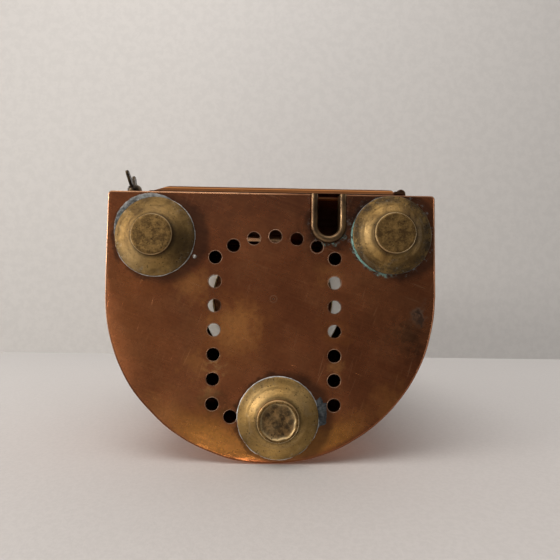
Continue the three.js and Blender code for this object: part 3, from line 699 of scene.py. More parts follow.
# ---------------------------------------------------------------- base plate
DENTS = (  # x, y from the centre line, reach, depth
    (68.8, -72.5, 9, 0.9), (40.0, -92.0, 11, 0.5), (84.0, -50.0, 12, -0.45), (44.0, -46.0, 8, 0.3),
    (-41.0, -36.0, 9, -0.35), (-62.0, -70.0, 14, 0.35), (22.0, -18.0, 18, 0.25), (-88.0, 2.0, 13, -0.3),
    (12.0, -100.0, 9, -0.5), (95.0, 8.0, 15, 0.3),
)
CURL_R = 92 * MM  # the round edge is beaten back from this radius outward
NOTCH_R = LINER_R + 0.3 * MM  # half the width of the slot's cut in the plate
GRID = 2.4 * MM  # between the plate's inner points


def vent_centres():
    half = (VENTS_IN_COLUMN - 1) / 2 * VENT_PITCH
    rows = [row * VENT_PITCH - half for row in range(VENTS_IN_COLUMN)]
    centres = [(side * VENT_COLUMN, y) for y in rows for side in (1, -1)]
    arc_centre = half - math.sqrt(VENT_ARC_R ** 2 - VENT_COLUMN ** 2)
    for step in range(-2, 3):
        x = VENT_ARC_R * math.sin(step * VENT_ARC_STEP)
        y = arc_centre + VENT_ARC_R * math.cos(step * VENT_ARC_STEP)
        centres += [(x, y), (x, -y)]
    return [(x + VENT_CENTRE[0], y + VENT_CENTRE[1]) for x, y in centres]


VENTS = vent_centres()


def plate_wave(x, y):
    """How far the thin sheet stands off its plane: soft waves, a lift round each vent and a few dents."""
    wave = 0.32 * noise.noise(Vector((x * 19, y * 19, 1.7)))
    wave += 0.12 * noise.noise(Vector((x * 55, y * 55, 4.1)))
    for cx, cy in VENTS:
        wave += 0.1 * math.exp(-((x - cx) ** 2 + (y - cy) ** 2) / (6 * MM) ** 2)
    for dx, dy, reach, depth in DENTS:
        wave += depth * math.exp(-((x - dx * MM) ** 2 + (y - dy * MM) ** 2) / (reach * MM) ** 2)
    curl = max(0, math.hypot(x, y) - CURL_R) / (CASE_R - CURL_R) if y < 0 else 0
    wave += 0.9 * curl ** 2 * (0.7 + 0.8 * noise.noise(Vector((6 * math.atan2(y, x), 0, 2.3))))
    return wave * MM


def plate_outline():
    corner = 2.2 * MM
    back, r = BACK - corner, CASE_R - corner
    points = arc((r, back), corner, 0, math.pi / 2, 5)
    points += [(x, BACK) for x in (0.08, 0.06, 0.04, 0.02, 0.0, SLOT_X + NOTCH_R)]
    points += arc((SLOT_X, SLOT_Y), NOTCH_R, 0, -math.pi, 26)
    points += [(x, BACK) for x in (SLOT_X - NOTCH_R, -0.065, -0.085)]
    points += arc((-r, back), corner, math.pi / 2, math.pi, 5)
    points += [(-CASE_R, y) for y in (0.045, 0.03, 0.015)]
    points += arc((0, 0), CASE_R, math.pi, TAU, 120)
    points += [(CASE_R, y) for y in (0.015, 0.03, 0.045)]
    return points


def in_slot(x, y, reach):
    return abs(x - SLOT_X) < reach and y > SLOT_Y or math.hypot(x - SLOT_X, y - SLOT_Y) < reach


def in_vent(x, y, reach):
    return any(math.hypot(x - cx, y - cy) < reach for cx, cy in VENTS)


def on_sheet(x, y, margin):
    """Whether a point lies on the plate's copper, further than the margin from any edge."""
    if y > 0:
        within = abs(x) <= CASE_R - margin and y <= BACK - margin
    else:
        within = math.hypot(x, y) <= CASE_R - margin
    return within and not in_vent(x, y, VENT_R + margin) and not in_slot(x, y, NOTCH_R + margin)


def vent_outline(cx, cy):
    """A punched hole, not quite round; those that touch the slot's liner are a little smaller."""
    rag = random.uniform(0, 9)
    by_slot = math.hypot(cx - SLOT_X, cy - SLOT_Y) < LINER_R + VENT_R + 0.5 * MM
    r = VENT_R - (0.35 * MM if by_slot else 0)
    return [(cx + r * math.cos(a) * (1 + 0.015 * math.sin(3 * a + rag)),
             cy + r * math.sin(a) * (1 + 0.015 * math.cos(2 * a + rag))) for a in turns(36)]


def make_plate():
    points, edges = [], []
    for loop in [plate_outline()] + [vent_outline(cx, cy) for cx, cy in VENTS]:
        base = len(points)
        points += loop
        edges += [(base + i, base + (i + 1) % len(loop)) for i in range(len(loop))]
    for row in range(int(0.2 / GRID)):
        y = -CASE_R + row * GRID * 0.87
        for col in range(int(0.22 / GRID)):
            x = -CASE_R + (col + 0.5 * (row % 2)) * GRID
            if on_sheet(x, y, 1.3 * MM):
                points.append((x, y))
    verts, _, faces, *_ = delaunay_2d_cdt([Vector(p) for p in points], edges, [], 1, 1e-7)
    kept = []
    for face in faces:
        cx = sum(verts[i].x for i in face) / len(face)
        cy = sum(verts[i].y for i in face) / len(face)
        if not in_vent(cx, cy, VENT_R - 0.05 * MM) and not in_slot(cx, cy, LINER_R + 0.2 * MM):
            kept.append(tuple(face))
    low = [Vector((v.x, AXIS_Y + v.y, PLATE_Z + plate_wave(v.x, v.y))) for v in verts]
    high = [v + Vector((0, 0, SHEET)) for v in low]
    count = len(low)
    faces = [tuple(reversed(f)) for f in kept] + [tuple(i + count for i in f) for f in kept]
    sides = [(a, f[(i + 1) % len(f)]) for f in kept for i, a in enumerate(f)]
    paired = set(sides)
    faces += [(a, b, b + count, a + count) for a, b in sides if (b, a) not in paired]
    piece("plate", (low + high, faces), "plate", replaces=["base_plate"], sharp=50, bevel=0.3 * MM)


def make_vent_rims():
    """The punched edge of each vent, rubbed bright."""
    bead = 0.2 * MM
    section = arc((VENT_R + 0.25 * MM, 0), bead, 0, TAU, 8)
    rims = [moved(lathe(section, 36), (x, AXIS_Y + y, PLATE_Z + plate_wave(x, y))) for x, y in VENTS]
    piece("vent_rims", joined(*rims), "worn_edge", sharp=60)


def make_plate_edge():
    """The plate's outer edge, with the shears' burr, from one side of the slot to the other; its material
    paints a highlight along the back and one side.
    """
    outline = plate_outline()
    notch = [i for i, (x, y) in enumerate(outline) if 0 < y < BACK - MM and abs(x - SLOT_X) < LINER_R + MM]
    outline = outline[notch[-1] + 1:] + outline[:notch[0]]
    r = 0.5 * MM
    rings = []
    for (x, y), (nx, ny) in zip(outline, normals(outline)):
        z = PLATE_Z + plate_wave(x, y) + 0.2 * MM
        ring = []
        for a in turns(10):
            out = r * (math.cos(a) - 1)
            ring.append((x + nx * out, AXIS_Y + y + ny * out, z + r * math.sin(a)))
        rings.append(ring)
    piece("plate_edge", strips(rings, caps=True), "plate_edge", sharp=60)


make_plate()
make_plate_edge()
make_vent_rims()


def make_liner():
    """A rounded brass strip bent round the slot, standing proud of the plate."""
    half = (LINER_R - SLOT_R) / 2
    centre_r = (LINER_R + SLOT_R) / 2
    back = SLOT_HI.y - AXIS_Y
    path = [(SLOT_X + centre_r, back - (back - SLOT_Y) * k / 8) for k in range(8)]
    path += arc((SLOT_X, SLOT_Y), centre_r, 0, -math.pi, 32)
    path += [(SLOT_X - centre_r, SLOT_Y + (back - SLOT_Y) * k / 8) for k in range(1, 9)]
    section = arc((0, SLOT_LO.z + half), half, math.pi, TAU, 12)
    section += [(half, SLOT_HI.z), (-half * 0.5, SLOT_HI.z), (-half * 0.5, PLATE_Z + MM)]
    rings = []
    for (x, y), (nx, ny) in zip(path, normals(path)):
        jitter = 0.12 * MM * noise.noise(Vector((x * 160, y * 160, 0)))
        rings.append([Vector((x + nx * (o + jitter), AXIS_Y + y + ny * (o + jitter), z)) for o, z in section])
    piece("slot_bead", strips(rings, caps=True), "liner_brass", replaces=["slot_liner"], sharp=50)


make_liner()


# ---------------------------------------------------------------- feet
FOOT_R = half_width("foot_left")
# radius and height above the pad, in mm, from the pad's edge out to the brim
FOOT_SIDE = (
    (12.2, 0.12), (12.65, 0.5), (12.9, 1.2), (13, 2.7), (13.2, 3.25), (13.9, 3.55), (15.2, 4.1), (16.8, 5.2),
    (18.2, 6.3), (19, 6.75), (19.7, 6.85), (20.2, 7.15), (21.6, 7.7), (23.4, 8.15), (24.8, 8.4), (25.3, 8.7),
    (25.4, 9.1), (25.3, 9.45), (24.5, 9.5), (0, 9.5),
)
WHOLE_PAD = ((0, 0.16), (6, 0.12), (11.2, 0.05))
TORN_PAD = ((0, 1.6), (3, 1.6), (6, 1.6), (8, 1.6), (9.7, 1.5), (10.6, 1.15), (10.9, 0.45), (11.3, 0.12))
FEET = {"foot_left": (1.0, WHOLE_PAD), "foot_right": (5.0, WHOLE_PAD), "foot_front": (9.0, TORN_PAD)}


def foot_wobble(seed):
    """Small knocks all over, and a ragged edge where the front foot's pad is torn."""
    def move(angle, r, z):
        if r < 1e-6 or z > 9.3 * MM:
            return 0, 0
        spot = Vector((r * 90 * math.cos(angle), r * 90 * math.sin(angle), z * 120 + seed))
        soft = noise.noise(spot) * 0.16 * MM
        fine = noise.noise(spot * 5) * 0.05 * MM
        ragged = 0
        if z > 0.3 * MM and r < 11 * MM:
            ragged = noise.noise(Vector((2.5 * math.cos(angle), 2.5 * math.sin(angle), seed))) * 0.1 * r
            soft = noise.noise(spot * 3) * 0.25 * MM
        return ragged - abs(soft) * 0.4, max(soft * 0.6 + fine, -z + 0.03 * MM)
    return move


for node, (seed, pad) in FEET.items():
    spun = lathe(mm(pad + FOOT_SIDE), 120, foot_wobble(seed))
    piece(node + "_spun", moved(spun, (*middle(node).xy, 0)), "foot_brass", replaces=[node], sharp=60)


def ring_bead(name, foot, thick, seed, finish, span=(0, 360), grow=0.0):
    """An uneven fillet of solder or crust round a foot, on the underside of the plate."""
    centre = middle(foot)
    start, end = (math.radians(a) for a in span)
    whole = end - start > TAU - 1e-6
    steps = 120
    overlap = 0.35 * MM  # how far the fillet reaches in under the brim, and up into the plate
    thin = 0.12 * MM
    rings = []
    for k in range(steps if whole else steps + 1):
        t = k / steps
        angle = start + (end - start) * t
        rough = noise.noise(Vector((math.cos(angle) * 3, math.sin(angle) * 3, seed)))
        finer = noise.noise(Vector((math.cos(angle) * 14, math.sin(angle) * 14, seed)))
        taper = 1 if whole else max(0.02, math.sin(math.pi * t) ** 0.6)
        width = max((thick * (0.75 + 0.7 * rough + 0.5 * finer) + grow * taper) * taper, thin)
        height = max(thin, min(width, 0.75 * MM) * (0.8 + 0.3 * finer)) * taper
        section = []
        for u in (s / 8 for s in range(9)):
            section.append((FOOT_R - overlap + (width + overlap) * u,
                            PLATE_Z - height * math.sqrt(1 - u ** 2.2)))
        section += [(section[-1][0], PLATE_Z + overlap), (section[0][0], PLATE_Z + overlap)]
        c, s = math.cos(angle), math.sin(angle)
        rings.append([Vector((centre.x + r * c, centre.y + r * s, z)) for r, z in section])
    piece(name, strips(rings, closed_loop=whole, caps=not whole), finish, sharp=70)


def pool(name, foot, offset, radii, height, seed, finish, lobes):
    """A flat irregular run of solder beside a foot, on the underside of the plate; offset and radii in mm."""
    sides, loops = 80, 6
    centre = middle(foot) + Vector((*offset, 0)) * MM
    rings = []
    for r in (1 - j / loops for j in range(loops + 1)):
        ring = []
        for angle in turns(sides):
            spread = 1 + lobes * noise.noise(Vector((math.cos(angle) * 1.6, math.sin(angle) * 1.6, seed)))
            spread += lobes * 0.25 * noise.noise(Vector((math.cos(angle) * 5, math.sin(angle) * 5, seed)))
            x = centre.x + radii[0] * MM * spread * r * math.cos(angle)
            y = centre.y + radii[1] * MM * spread * r * math.sin(angle)
            drop = height * (1 - r ** 3) * (1 + 0.6 * noise.noise(Vector((x * 300, y * 300, seed))))
            ring.append(Vector((x, y, PLATE_Z + plate_wave(x, y - AXIS_Y) - drop)))
        rings.append(ring)
    lid = [Vector((v.x, v.y, PLATE_Z + 0.6 * MM)) for v in rings[0]]
    verts, faces = strips([lid] + rings)
    faces.append(tuple(range(sides)))
    piece(name, (verts, faces), finish, sharp=70)


ring_bead("solder_ring_left", "foot_left", 0.45 * MM, 2.0, "solder_bright")
ring_bead("solder_ring_right", "foot_right", 0.35 * MM, 3.0, "solder_dull")
ring_bead("solder_ring_front", "foot_front", 0.6 * MM, 4.0, "solder_bright")
ring_bead("solder_crescent_left", "foot_left", 0.6 * MM, 6.0, "solder_dull", (-5, 118), 3.4 * MM)
ring_bead("green_crust_right", "foot_right", 0.4 * MM, 8.0, "verdigris", (-84, 30), 1.1 * MM)
pool("solder_run_front", "foot_front", (-26.8, 4), (4.6, 8.5), 0.35 * MM, 3.3, "solder_slate", 0.45)
pool("solder_drop", "foot_left", (-25.5, -12.5), (1.3, 1.3), 0.9 * MM, 1.3, "solder_bright", 0.1)


# ---------------------------------------------------------------- case walls
LOWER_LO, LOWER_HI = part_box("lower_wall")
UPPER_LO, UPPER_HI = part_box("upper_wall")
BACK_Y = PLATE_HI.y
BACKWARD = (0, 1, 0)


def u_path(radius, back, steps=110):
    """From one back corner round the front to the other, from the centre line."""
    side = [(-radius, back * (1 - k / 6)) for k in range(6)]
    other = [(radius, back * k / 6) for k in range(1, 7)]
    return side + arc((0, 0), radius, math.pi, TAU, steps) + other


def wall_section(z0, z1, beads, thickness=1.2 * MM, bead_r=1.4 * MM, proud=0.55 * MM):
    """A thin sheet with rounded swages pressed outwards at the given heights."""
    outer = [(-proud, z0)]
    for z in beads:
        outer += [(-proud + proud * math.sin(math.pi * k / 8), z - bead_r + bead_r * k / 4)
                  for k in range(9)]
    outer.append((-proud, z1))
    return outer + [(o - thickness, z) for o, z in reversed(outer)]


def make_wall(node, beads):
    lo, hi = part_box(node)
    path = u_path(half_width(node), hi.y - AXIS_Y)
    section = wall_section(lo.z, hi.z, beads)
    rings = [[Vector((x + nx * o, AXIS_Y + y + ny * o, z)) for o, z in section]
             for (x, y), (nx, ny) in zip(path, normals(path))]
    piece(node + "_sheet", strips(rings, caps=True), "copper", replaces=[node], sharp=45)


make_wall("lower_wall", [LOWER_LO.z + 7 * MM, LOWER_LO.z + 12 * MM, LOWER_HI.z - 9 * MM])
make_wall("upper_wall", [UPPER_LO.z + 6 * MM, UPPER_HI.z - 6 * MM])


def domes(name, spots, radius, height, finish):
    """Rivet heads: each spot is a place and the direction that the head faces."""
    profile = [(0, -0.4 * MM), (radius, -0.4 * MM)]
    profile += [(radius * math.cos(a), height * math.sin(a)) for a in (math.pi / 2 * k / 5 for k in range(6))]
    head = lathe(profile, 14)
    heads = []
    for place, facing in spots:
        turn = Vector((0, 0, 1)).rotation_difference(Vector(facing)).to_matrix()
        heads.append(moved(head, place, turn))
    piece(name, joined(*heads), finish, sharp=60)


def back_rivets():
    spots = []
    side = half_width("lower_wall") - 5 * MM
    for k in range(12):
        z = LOWER_LO.z + 12 * MM + k * 22.5 * MM
        if abs(z - middle("catch_boss").z) > 9 * MM:
            spots.append(((side, BACK_Y, z), BACKWARD))
        spots.append(((-side - 1.5 * MM, BACK_Y, z), BACKWARD))
    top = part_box("back_wall")[1].z - 8 * MM
    return spots + [((x * MM, BACK_Y, top), BACKWARD) for x in (-72, -48, -24, 0, 24, 48, 72)]


def side_rivets():
    spots = []
    for node, rows in (("lower_wall", 7), ("upper_wall", 2)):
        lo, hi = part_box(node)
        for k in range(rows):
            z = lo.z + (hi.z - lo.z) * (k + 0.5) / rows
            for side in (1, -1):
                spots.append(((side * (half_width(node) - 0.5 * MM), BACK_Y - 9 * MM, z), (side, 0, 0)))
    return spots


domes("back_rivets", back_rivets(), 1.7 * MM, 0.9 * MM, "copper")
domes("side_rivets", side_rivets(), 1.6 * MM, 0.9 * MM, "copper")


def wire_round(name, radius, back, z):
    """A wired edge round the sides and front."""
    path = [Vector((x, AXIS_Y + y, z)) for x, y in u_path(CASE_R - radius, back)]
    piece(name, tube(path, radius, 12), "copper")


for node in ("lens_floor", "lens_roof"):
    wire_round(node + "_wire", 1.3 * MM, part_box(node)[1].y - AXIS_Y - MM, middle(node).z)


# ---------------------------------------------------------------- lens and guard
LENS_LO, LENS_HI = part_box("lens")
LENS_R = half_width("lens")


def turned(name, node, profile, finish, body="case", segments=96, sharp=40, **part_turn):
    """A lathe shape on a node's own upright axis, or round the case's axis for a part turn."""
    place = (0, AXIS_Y, 0) if part_turn else (*middle(node).xy, 0)
    return piece(name, moved(lathe(profile, segments, **part_turn), place), finish, body, [node], sharp)


def lens_profile(ribs=9, depth=2.2 * MM, wall=6 * MM):
    """Flat inside; outside a bull's-eye belt with curved prisms above and below it."""
    height = LENS_HI.z - LENS_LO.z
    belt = height * 0.26
    step = (height - belt) / (ribs - 1)
    half = (ribs - 1) // 2
    root = LENS_R - depth
    points = [(LENS_R - wall, LENS_LO.z)]
    for k in range(half):
        z = LENS_LO.z + k * step
        points += [(root + depth * math.sin(math.pi / 2 * t / 5), z + step * t / 5) for t in range(6)]
    z = LENS_LO.z + half * step
    points += [(root + depth * math.sin(math.pi * t / 12), z + belt * t / 12) for t in range(13)]
    for k in range(half):
        z = LENS_LO.z + half * step + belt + k * step
        points += [(root + depth * math.cos(math.pi / 2 * t / 5), z + step * t / 5) for t in range(6)]
    return points + [(LENS_R - wall, LENS_HI.z)]


LENS_TURN = {"start": -math.pi / 2 - LENS_HALF_ARC, "sweep": 2 * LENS_HALF_ARC}
turned("ribbed_lens", "lens", lens_profile(), "lens_glass", sharp=35, **LENS_TURN)
for node in ("lens_ring_low", "lens_ring_high"):
    lo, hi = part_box(node)
    outer, rounding = half_width(node), 0.8 * MM
    inner = outer - 9 * MM
    profile = [(inner, lo.z), (outer - rounding, lo.z), (outer, lo.z + rounding), (outer, hi.z - rounding),
               (outer - rounding, hi.z), (inner, hi.z)]
    turned(node + "_turned", node, profile, "brass", sharp=50, **LENS_TURN)

RODS = [f"guard_rod_{number}" for number in range(1, 6)]
for node in RODS:
    lo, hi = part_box(node)
    r = half_width(node)
    ferrule = [(0, 0), (r * 1.75, 0), (r * 1.75, 2.2 * MM), (r * 1.35, 3.4 * MM), (r * 1.35, 4.6 * MM),
               (r * 0.9, 5.6 * MM)]
    profile = [(radius, lo.z + z) for radius, z in ferrule]
    profile += [(radius, hi.z - z) for radius, z in reversed(ferrule)]
    turned(node + "_turned", node, profile, "brass", segments=28)


def make_hoop():
    lo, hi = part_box("guard_hoop")
    wire_r = (hi.z - lo.z) / 2
    z = middle("guard_hoop").z
    flat = arc((0, 0), half_width("guard_hoop") - wire_r, math.radians(178), math.radians(362), 110)
    path = [Vector((x, AXIS_Y + y, z)) for x, y in flat]
    piece("guard_hoop_wire", tube(path, wire_r, 14), "brass", replaces=["guard_hoop"])
    clip = lathe(mm([(2.9, -2.6), (4.0, -2.6), (4.0, 2.6), (2.9, 2.6)]), 24)
    piece("guard_clips", joined(*(moved(clip, (*middle(rod).xy, z)) for rod in RODS)), "brass", sharp=40)


make_hoop()


# ---------------------------------------------------------------- roof
CROWN_LO, CROWN_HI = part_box("crown")
DRUM_LO, DRUM_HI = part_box("chimney_drum")
DRUM_R = half_width("chimney_drum")
CORNER = math.atan2(BACK, CASE_R)  # of the back corners, seen from the centre line


def d_radius(angle):
    """From the centre line out to the D's edge."""
    if math.sin(angle) <= 0:
        return CASE_R
    return min(CASE_R / max(1e-9, abs(math.cos(angle))), BACK / math.sin(angle))


def crown_angles():
    angles = [CORNER * k / 12 for k in range(12)]
    angles += [CORNER + (math.pi - 2 * CORNER) * k / 40 for k in range(40)]
    angles += [math.pi - CORNER + CORNER * k / 12 for k in range(12)]
    return angles + [math.pi + math.pi * k / 96 for k in range(96)]


def crown_point(angle, t, lift=0.0):
    """On the roof's outer skin: t runs from the eaves, 0, to the drum, 1."""
    r = d_radius(angle) * (1 - t) + (DRUM_R + 0.3 * MM) * t
    z = CROWN_LO.z + (CROWN_HI.z - CROWN_LO.z) * t
    slope = math.atan2(CROWN_HI.z - CROWN_LO.z, d_radius(angle) - DRUM_R)
    r += lift * math.sin(slope)
    return Vector((r * math.cos(angle), AXIS_Y + r * math.sin(angle), z + lift * math.cos(slope)))


def make_crown(steps=10, sheet=1.7 * MM):
    angles = crown_angles()
    rings = []
    for t in (k / steps for k in range(steps + 1)):
        rings.append([crown_point(a, t, -0.5 * MM * math.sin(math.pi * t)) for a in angles])
    for t in (k / steps for k in range(steps, 0, -1)):
        rings.append([crown_point(a, min(t, 0.995), -sheet) for a in angles])
    rings.append([crown_point(a, 0) - Vector((math.cos(a), math.sin(a), 0)) * 1.6 * MM for a in angles])
    piece("crown_sheet", strips(rings, closed_loop=True), "copper", replaces=["crown"], sharp=24)


make_crown()


def make_seam(name, angle, width=2.6 * MM, height=0.9 * MM):
    """A folded seam running up the roof."""
    side = Vector((-math.sin(angle), math.cos(angle), 0))
    rings = []
    for t in (0.02 + 0.95 * k / 24 for k in range(25)):
        foot = crown_point(angle, t, -0.6 * MM)
        top = crown_point(angle, t, height)
        rings.append([foot - side * width / 2, top - side * width * 0.36, top + side * width * 0.36,
                      foot + side * width / 2])
    piece(name, strips(rings, caps=True), "copper", sharp=50, bevel=0.25 * MM)


for number, angle in enumerate((CORNER, math.pi - CORNER, math.radians(245), math.radians(295)), 1):
    make_seam(f"roof_seam_{number}", angle)


def make_eaves(r=1.5 * MM):
    """The wired edge round the foot of the roof."""
    z = CROWN_LO.z + 0.2 * MM
    wire_round("eaves_wire", r, BACK - r, z)
    back = [Vector((x, AXIS_Y + BACK - r, z)) for x in (-CASE_R + r, 0, CASE_R - r)]
    piece("eaves_wire_back", tube(back, r, 12), "copper")


make_eaves()


def make_drum():
    """The ventilator's drum, with a foot flange and eight round holes."""
    z = DRUM_LO.z
    profile = mm([(-1.2, 0), (1.6, 0), (1.6, 1.2), (0, 2.6)], DRUM_R, z)
    profile += mm([(0, 0), (-1.2, 0)], DRUM_R, DRUM_HI.z)
    drum = turned("drum_sheet", "chimney_drum", profile, "copper")
    drill = lathe(mm([(0, 0), (4.8, 0), (4.8, 20), (0, 20)]), 28)
    holes = []
    for k in range(8):
        turn = Matrix.Rotation(TAU * (k + 0.5) / 8, 3, "Z") @ ALONG_X
        place = turn @ Vector((0, 0, DRUM_R - 10 * MM)) + Vector((0, AXIS_Y, z + 14 * MM))
        holes.append(moved(drill, place, turn))
    carve(drum, joined(*holes))


make_drum()


def bead(centre, radius, a0, a1, steps=14):
    return arc(centre, radius, math.radians(a0), math.radians(a1), steps)


def make_cowl():
    """A flared skirt with a rolled lower edge, and a band round the drum that holds it."""
    outer = half_width("cowl")
    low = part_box("cowl")[0].z
    bead_r = 1.5 * MM
    foot = outer - 1.6 * MM  # of the slope, whose top is 3 mm off the drum
    slope = []
    for t in (k / 12 for k in range(1, 13)):
        slope.append((foot + (DRUM_R + 3 * MM - foot) * t,
                      low + 6 * MM + 19.5 * MM * (t + 0.12 * math.sin(math.pi * t))))
    profile = [(outer - 2 * bead_r - 0.2 * MM, low + 2.6 * MM)]
    profile += bead((outer - bead_r, low + bead_r), bead_r, 180, 450)
    profile += mm([(-1.2, 3.2), (-1.6, 6)], outer, low) + slope
    profile += mm([(2.2, 36), (0.4, 36), (0.4, 31)], DRUM_R, DRUM_LO.z)
    profile += [(r - 0.6 * MM, z - 1.1 * MM) for r, z in reversed(slope[:-1])]
    turned("cowl_sheet", "cowl", profile, "copper")


def make_cap():
    """A domed lid with a rolled rim, hollow underneath."""
    lo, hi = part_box("cap")
    outer = half_width("cap")
    bead_r = 1.3 * MM
    rise = hi.z - lo.z - 7 * MM
    dome = [(outer * math.cos(a) - bead_r * 0.6, lo.z + 7 * MM + rise * math.sin(a) ** 1.15)
            for a in (math.pi / 2 * k / 20 for k in range(1, 20))]
    under = [(max(0, r - 0.5 * MM), z - 1.1 * MM) for r, z in dome]
    profile = bead((outer - bead_r, lo.z + bead_r), bead_r, 180, 430)
    profile += mm([(-1.6, 4), (-1.2, 6.5)], outer, lo.z) + dome + [(0, hi.z), (0, hi.z - 1.2 * MM)]
    profile += under[::-1] + [(outer - 2.8 * MM, lo.z + 6.5 * MM)]
    turned("cap_sheet", "cap", profile[::-1], "copper")


make_cowl()
make_cap()

FUNNEL = ((47, 0), (54, 0), (54, 1.2), (48.4, 1.2), (47.5, 2.6), (28.6, 38), (27.2, 43), (27.2, 92), (26, 92),
          (26, 42.6), (27.5, 37), (46.2, 1.4))  # radius and height of the inner chimney, in mm
turned("inner_chimney_sheet", "inner_chimney", mm(FUNNEL, 0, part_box("inner_chimney")[0].z), "copper_inside")


# ---------------------------------------------------------------- bail
BAIL_PIVOT = Vector((72 * MM, AXIS_Y, 314 * MM))
BAIL_TILT = math.radians(12)
BAIL_LEG = 30 * MM
BAIL_WIRE = 2.5 * MM


def make_bail():
    half = BAIL_PIVOT.x
    flat = [(half, -5 * MM), (half, -BAIL_LEG * 0.5), (half, -BAIL_LEG)]
    flat += arc((0, -BAIL_LEG), half, 0, -math.pi, 72)[1:]
    flat += [(-half, -BAIL_LEG * 0.5), (-half, -5 * MM)]
    tilt = Matrix.Rotation(BAIL_TILT, 3, "X")
    path = [tilt @ Vector((x, y, 0)) + Vector((0, AXIS_Y, BAIL_PIVOT.z)) for x, y in flat]
    eye = lathe(mm([(2.6, -1.6), (4.9, -1.6), (5.5, -1.0), (5.5, 1.0), (4.9, 1.6), (2.6, 1.6)]), 32)
    eyes = [moved(eye, (side * half, AXIS_Y, BAIL_PIVOT.z), ALONG_X) for side in (1, -1)]
    piece("bail_wire", joined(tube(path, BAIL_WIRE, 18), *eyes), "brass", "bail", ["bail"], sharp=40)


def make_bail_lug(node):
    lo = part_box(node)[0]
    side = 1 if lo.x > 0 else -1
    r = 6 * MM
    outline = [(-r, lo.z - MM), (r, lo.z - MM)] + arc((0, BAIL_PIVOT.z - MM), r, 0, math.pi, 16)
    rings = [[Vector((side * (BAIL_PIVOT.x + x * MM), AXIS_Y + y, z)) for y, z in outline] for x in (3, 8.6)]
    piece(node + "_cast", strips(rings, caps=True), "brass", replaces=[node], sharp=40, bevel=0.5 * MM)
    pin = lathe(mm([(0, 0), (2.2, 0), (2.2, 7.6), (0, 7.6)]), 20)
    head = lathe(mm([(0, -1.7), (2.6, -1.7), (3.7, -0.7), (3.8, 0), (0, 0)]), 24)
    turn = ALONG_X if side > 0 else Matrix.Rotation(math.pi, 3, "Z") @ ALONG_X
    start = Vector((side * (BAIL_PIVOT.x - 2.9 * MM), AXIS_Y, BAIL_PIVOT.z))
    piece(node + "_pin", moved(joined(pin, head), start, turn), "brass", sharp=40)


make_bail()
make_bail_lug("bail_lug_left")
make_bail_lug("bail_lug_right")


def make_stay_lug(node):
    """An eye plate riveted to the case's side."""
    lo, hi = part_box(node)
    side = 1 if lo.x > 0 else -1
    wall = min(abs(lo.x), abs(hi.x))
    middle_y, z = middle(node).yz
    r = 9 * MM
    outline = [(wall, -r), (wall + MM, -r)] + arc((wall + 5 * MM, 0), r, -math.pi / 2, math.pi / 2, 24)
    outline += [(wall + MM, r), (wall, r)]
    rings = [[Vector((side * px, middle_y + d, z + pz)) for px, pz in outline] for d in (-1.5 * MM, 1.5 * MM)]
    lug = piece(node + "_cast", strips(rings, caps=True), "brass", replaces=[node], sharp=30)
    drill = lathe(mm([(0, -9), (4.2, -9), (4.2, 9), (0, 9)]), 32)
    carve(lug, moved(drill, (side * (wall + 5.5 * MM), middle_y, z), FACING_BACK))
    inner, outer = sorted((side * (wall - 1.4 * MM), side * wall))
    flange = block((inner, middle_y - 6 * MM, z - 12 * MM), (outer, middle_y + 6 * MM, z + 12 * MM))
    piece(node + "_flange", flange, "brass", sharp=40, bevel=0.4 * MM)
    spots = [(d * MM, h * MM) for d in (-4, 4) for h in (-9.5, 9.5)]
    bolts = [((side * wall, middle_y + d, z + h), (side, 0, 0)) for d, h in spots]
    domes(node + "_rivets", bolts, 1.3 * MM, 0.8 * MM, "brass")


for number in range(1, 5):
    make_stay_lug(f"stay_lug_{number}")


# ---------------------------------------------------------------- door
DOOR_LO, DOOR_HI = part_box("door")
HINGE_X, HINGE_Y = middle("hinge_pin").xy
KNUCKLE_R = 3.2 * MM
LEAVES = ("hinge_leaf_low", "hinge_leaf_high")
DOOR_SHEET = 1.1 * MM
DOOR_LIP = 1.2 * MM
# the door's pressed shape: how far in from its edge, and how high, in mm
DOOR_STEPS = ((0, 0), (0, 0.25), (0.12, 0.4), (1.2, 0.55), (4.0, 2.3), (8.4, 5.25), (9.6, 5.85), (11.0, 6.0),
              (18, 6.05), (30, 6.1), (45, 6.1))
DOOR_RIM = 3  # the step where the rim ends and the sheet is of one thickness


def rounded_rectangle(x0, x1, z0, z1, radius, steps=6):
    corners = ((x1 - radius, z0 + radius), (x1 - radius, z1 - radius), (x0 + radius, z1 - radius),
               (x0 + radius, z0 + radius))
    points = []
    for corner, angle in zip(corners, (-90, 0, 90, 180)):
        points += bead(corner, radius, angle, angle + 90, steps)
    return points


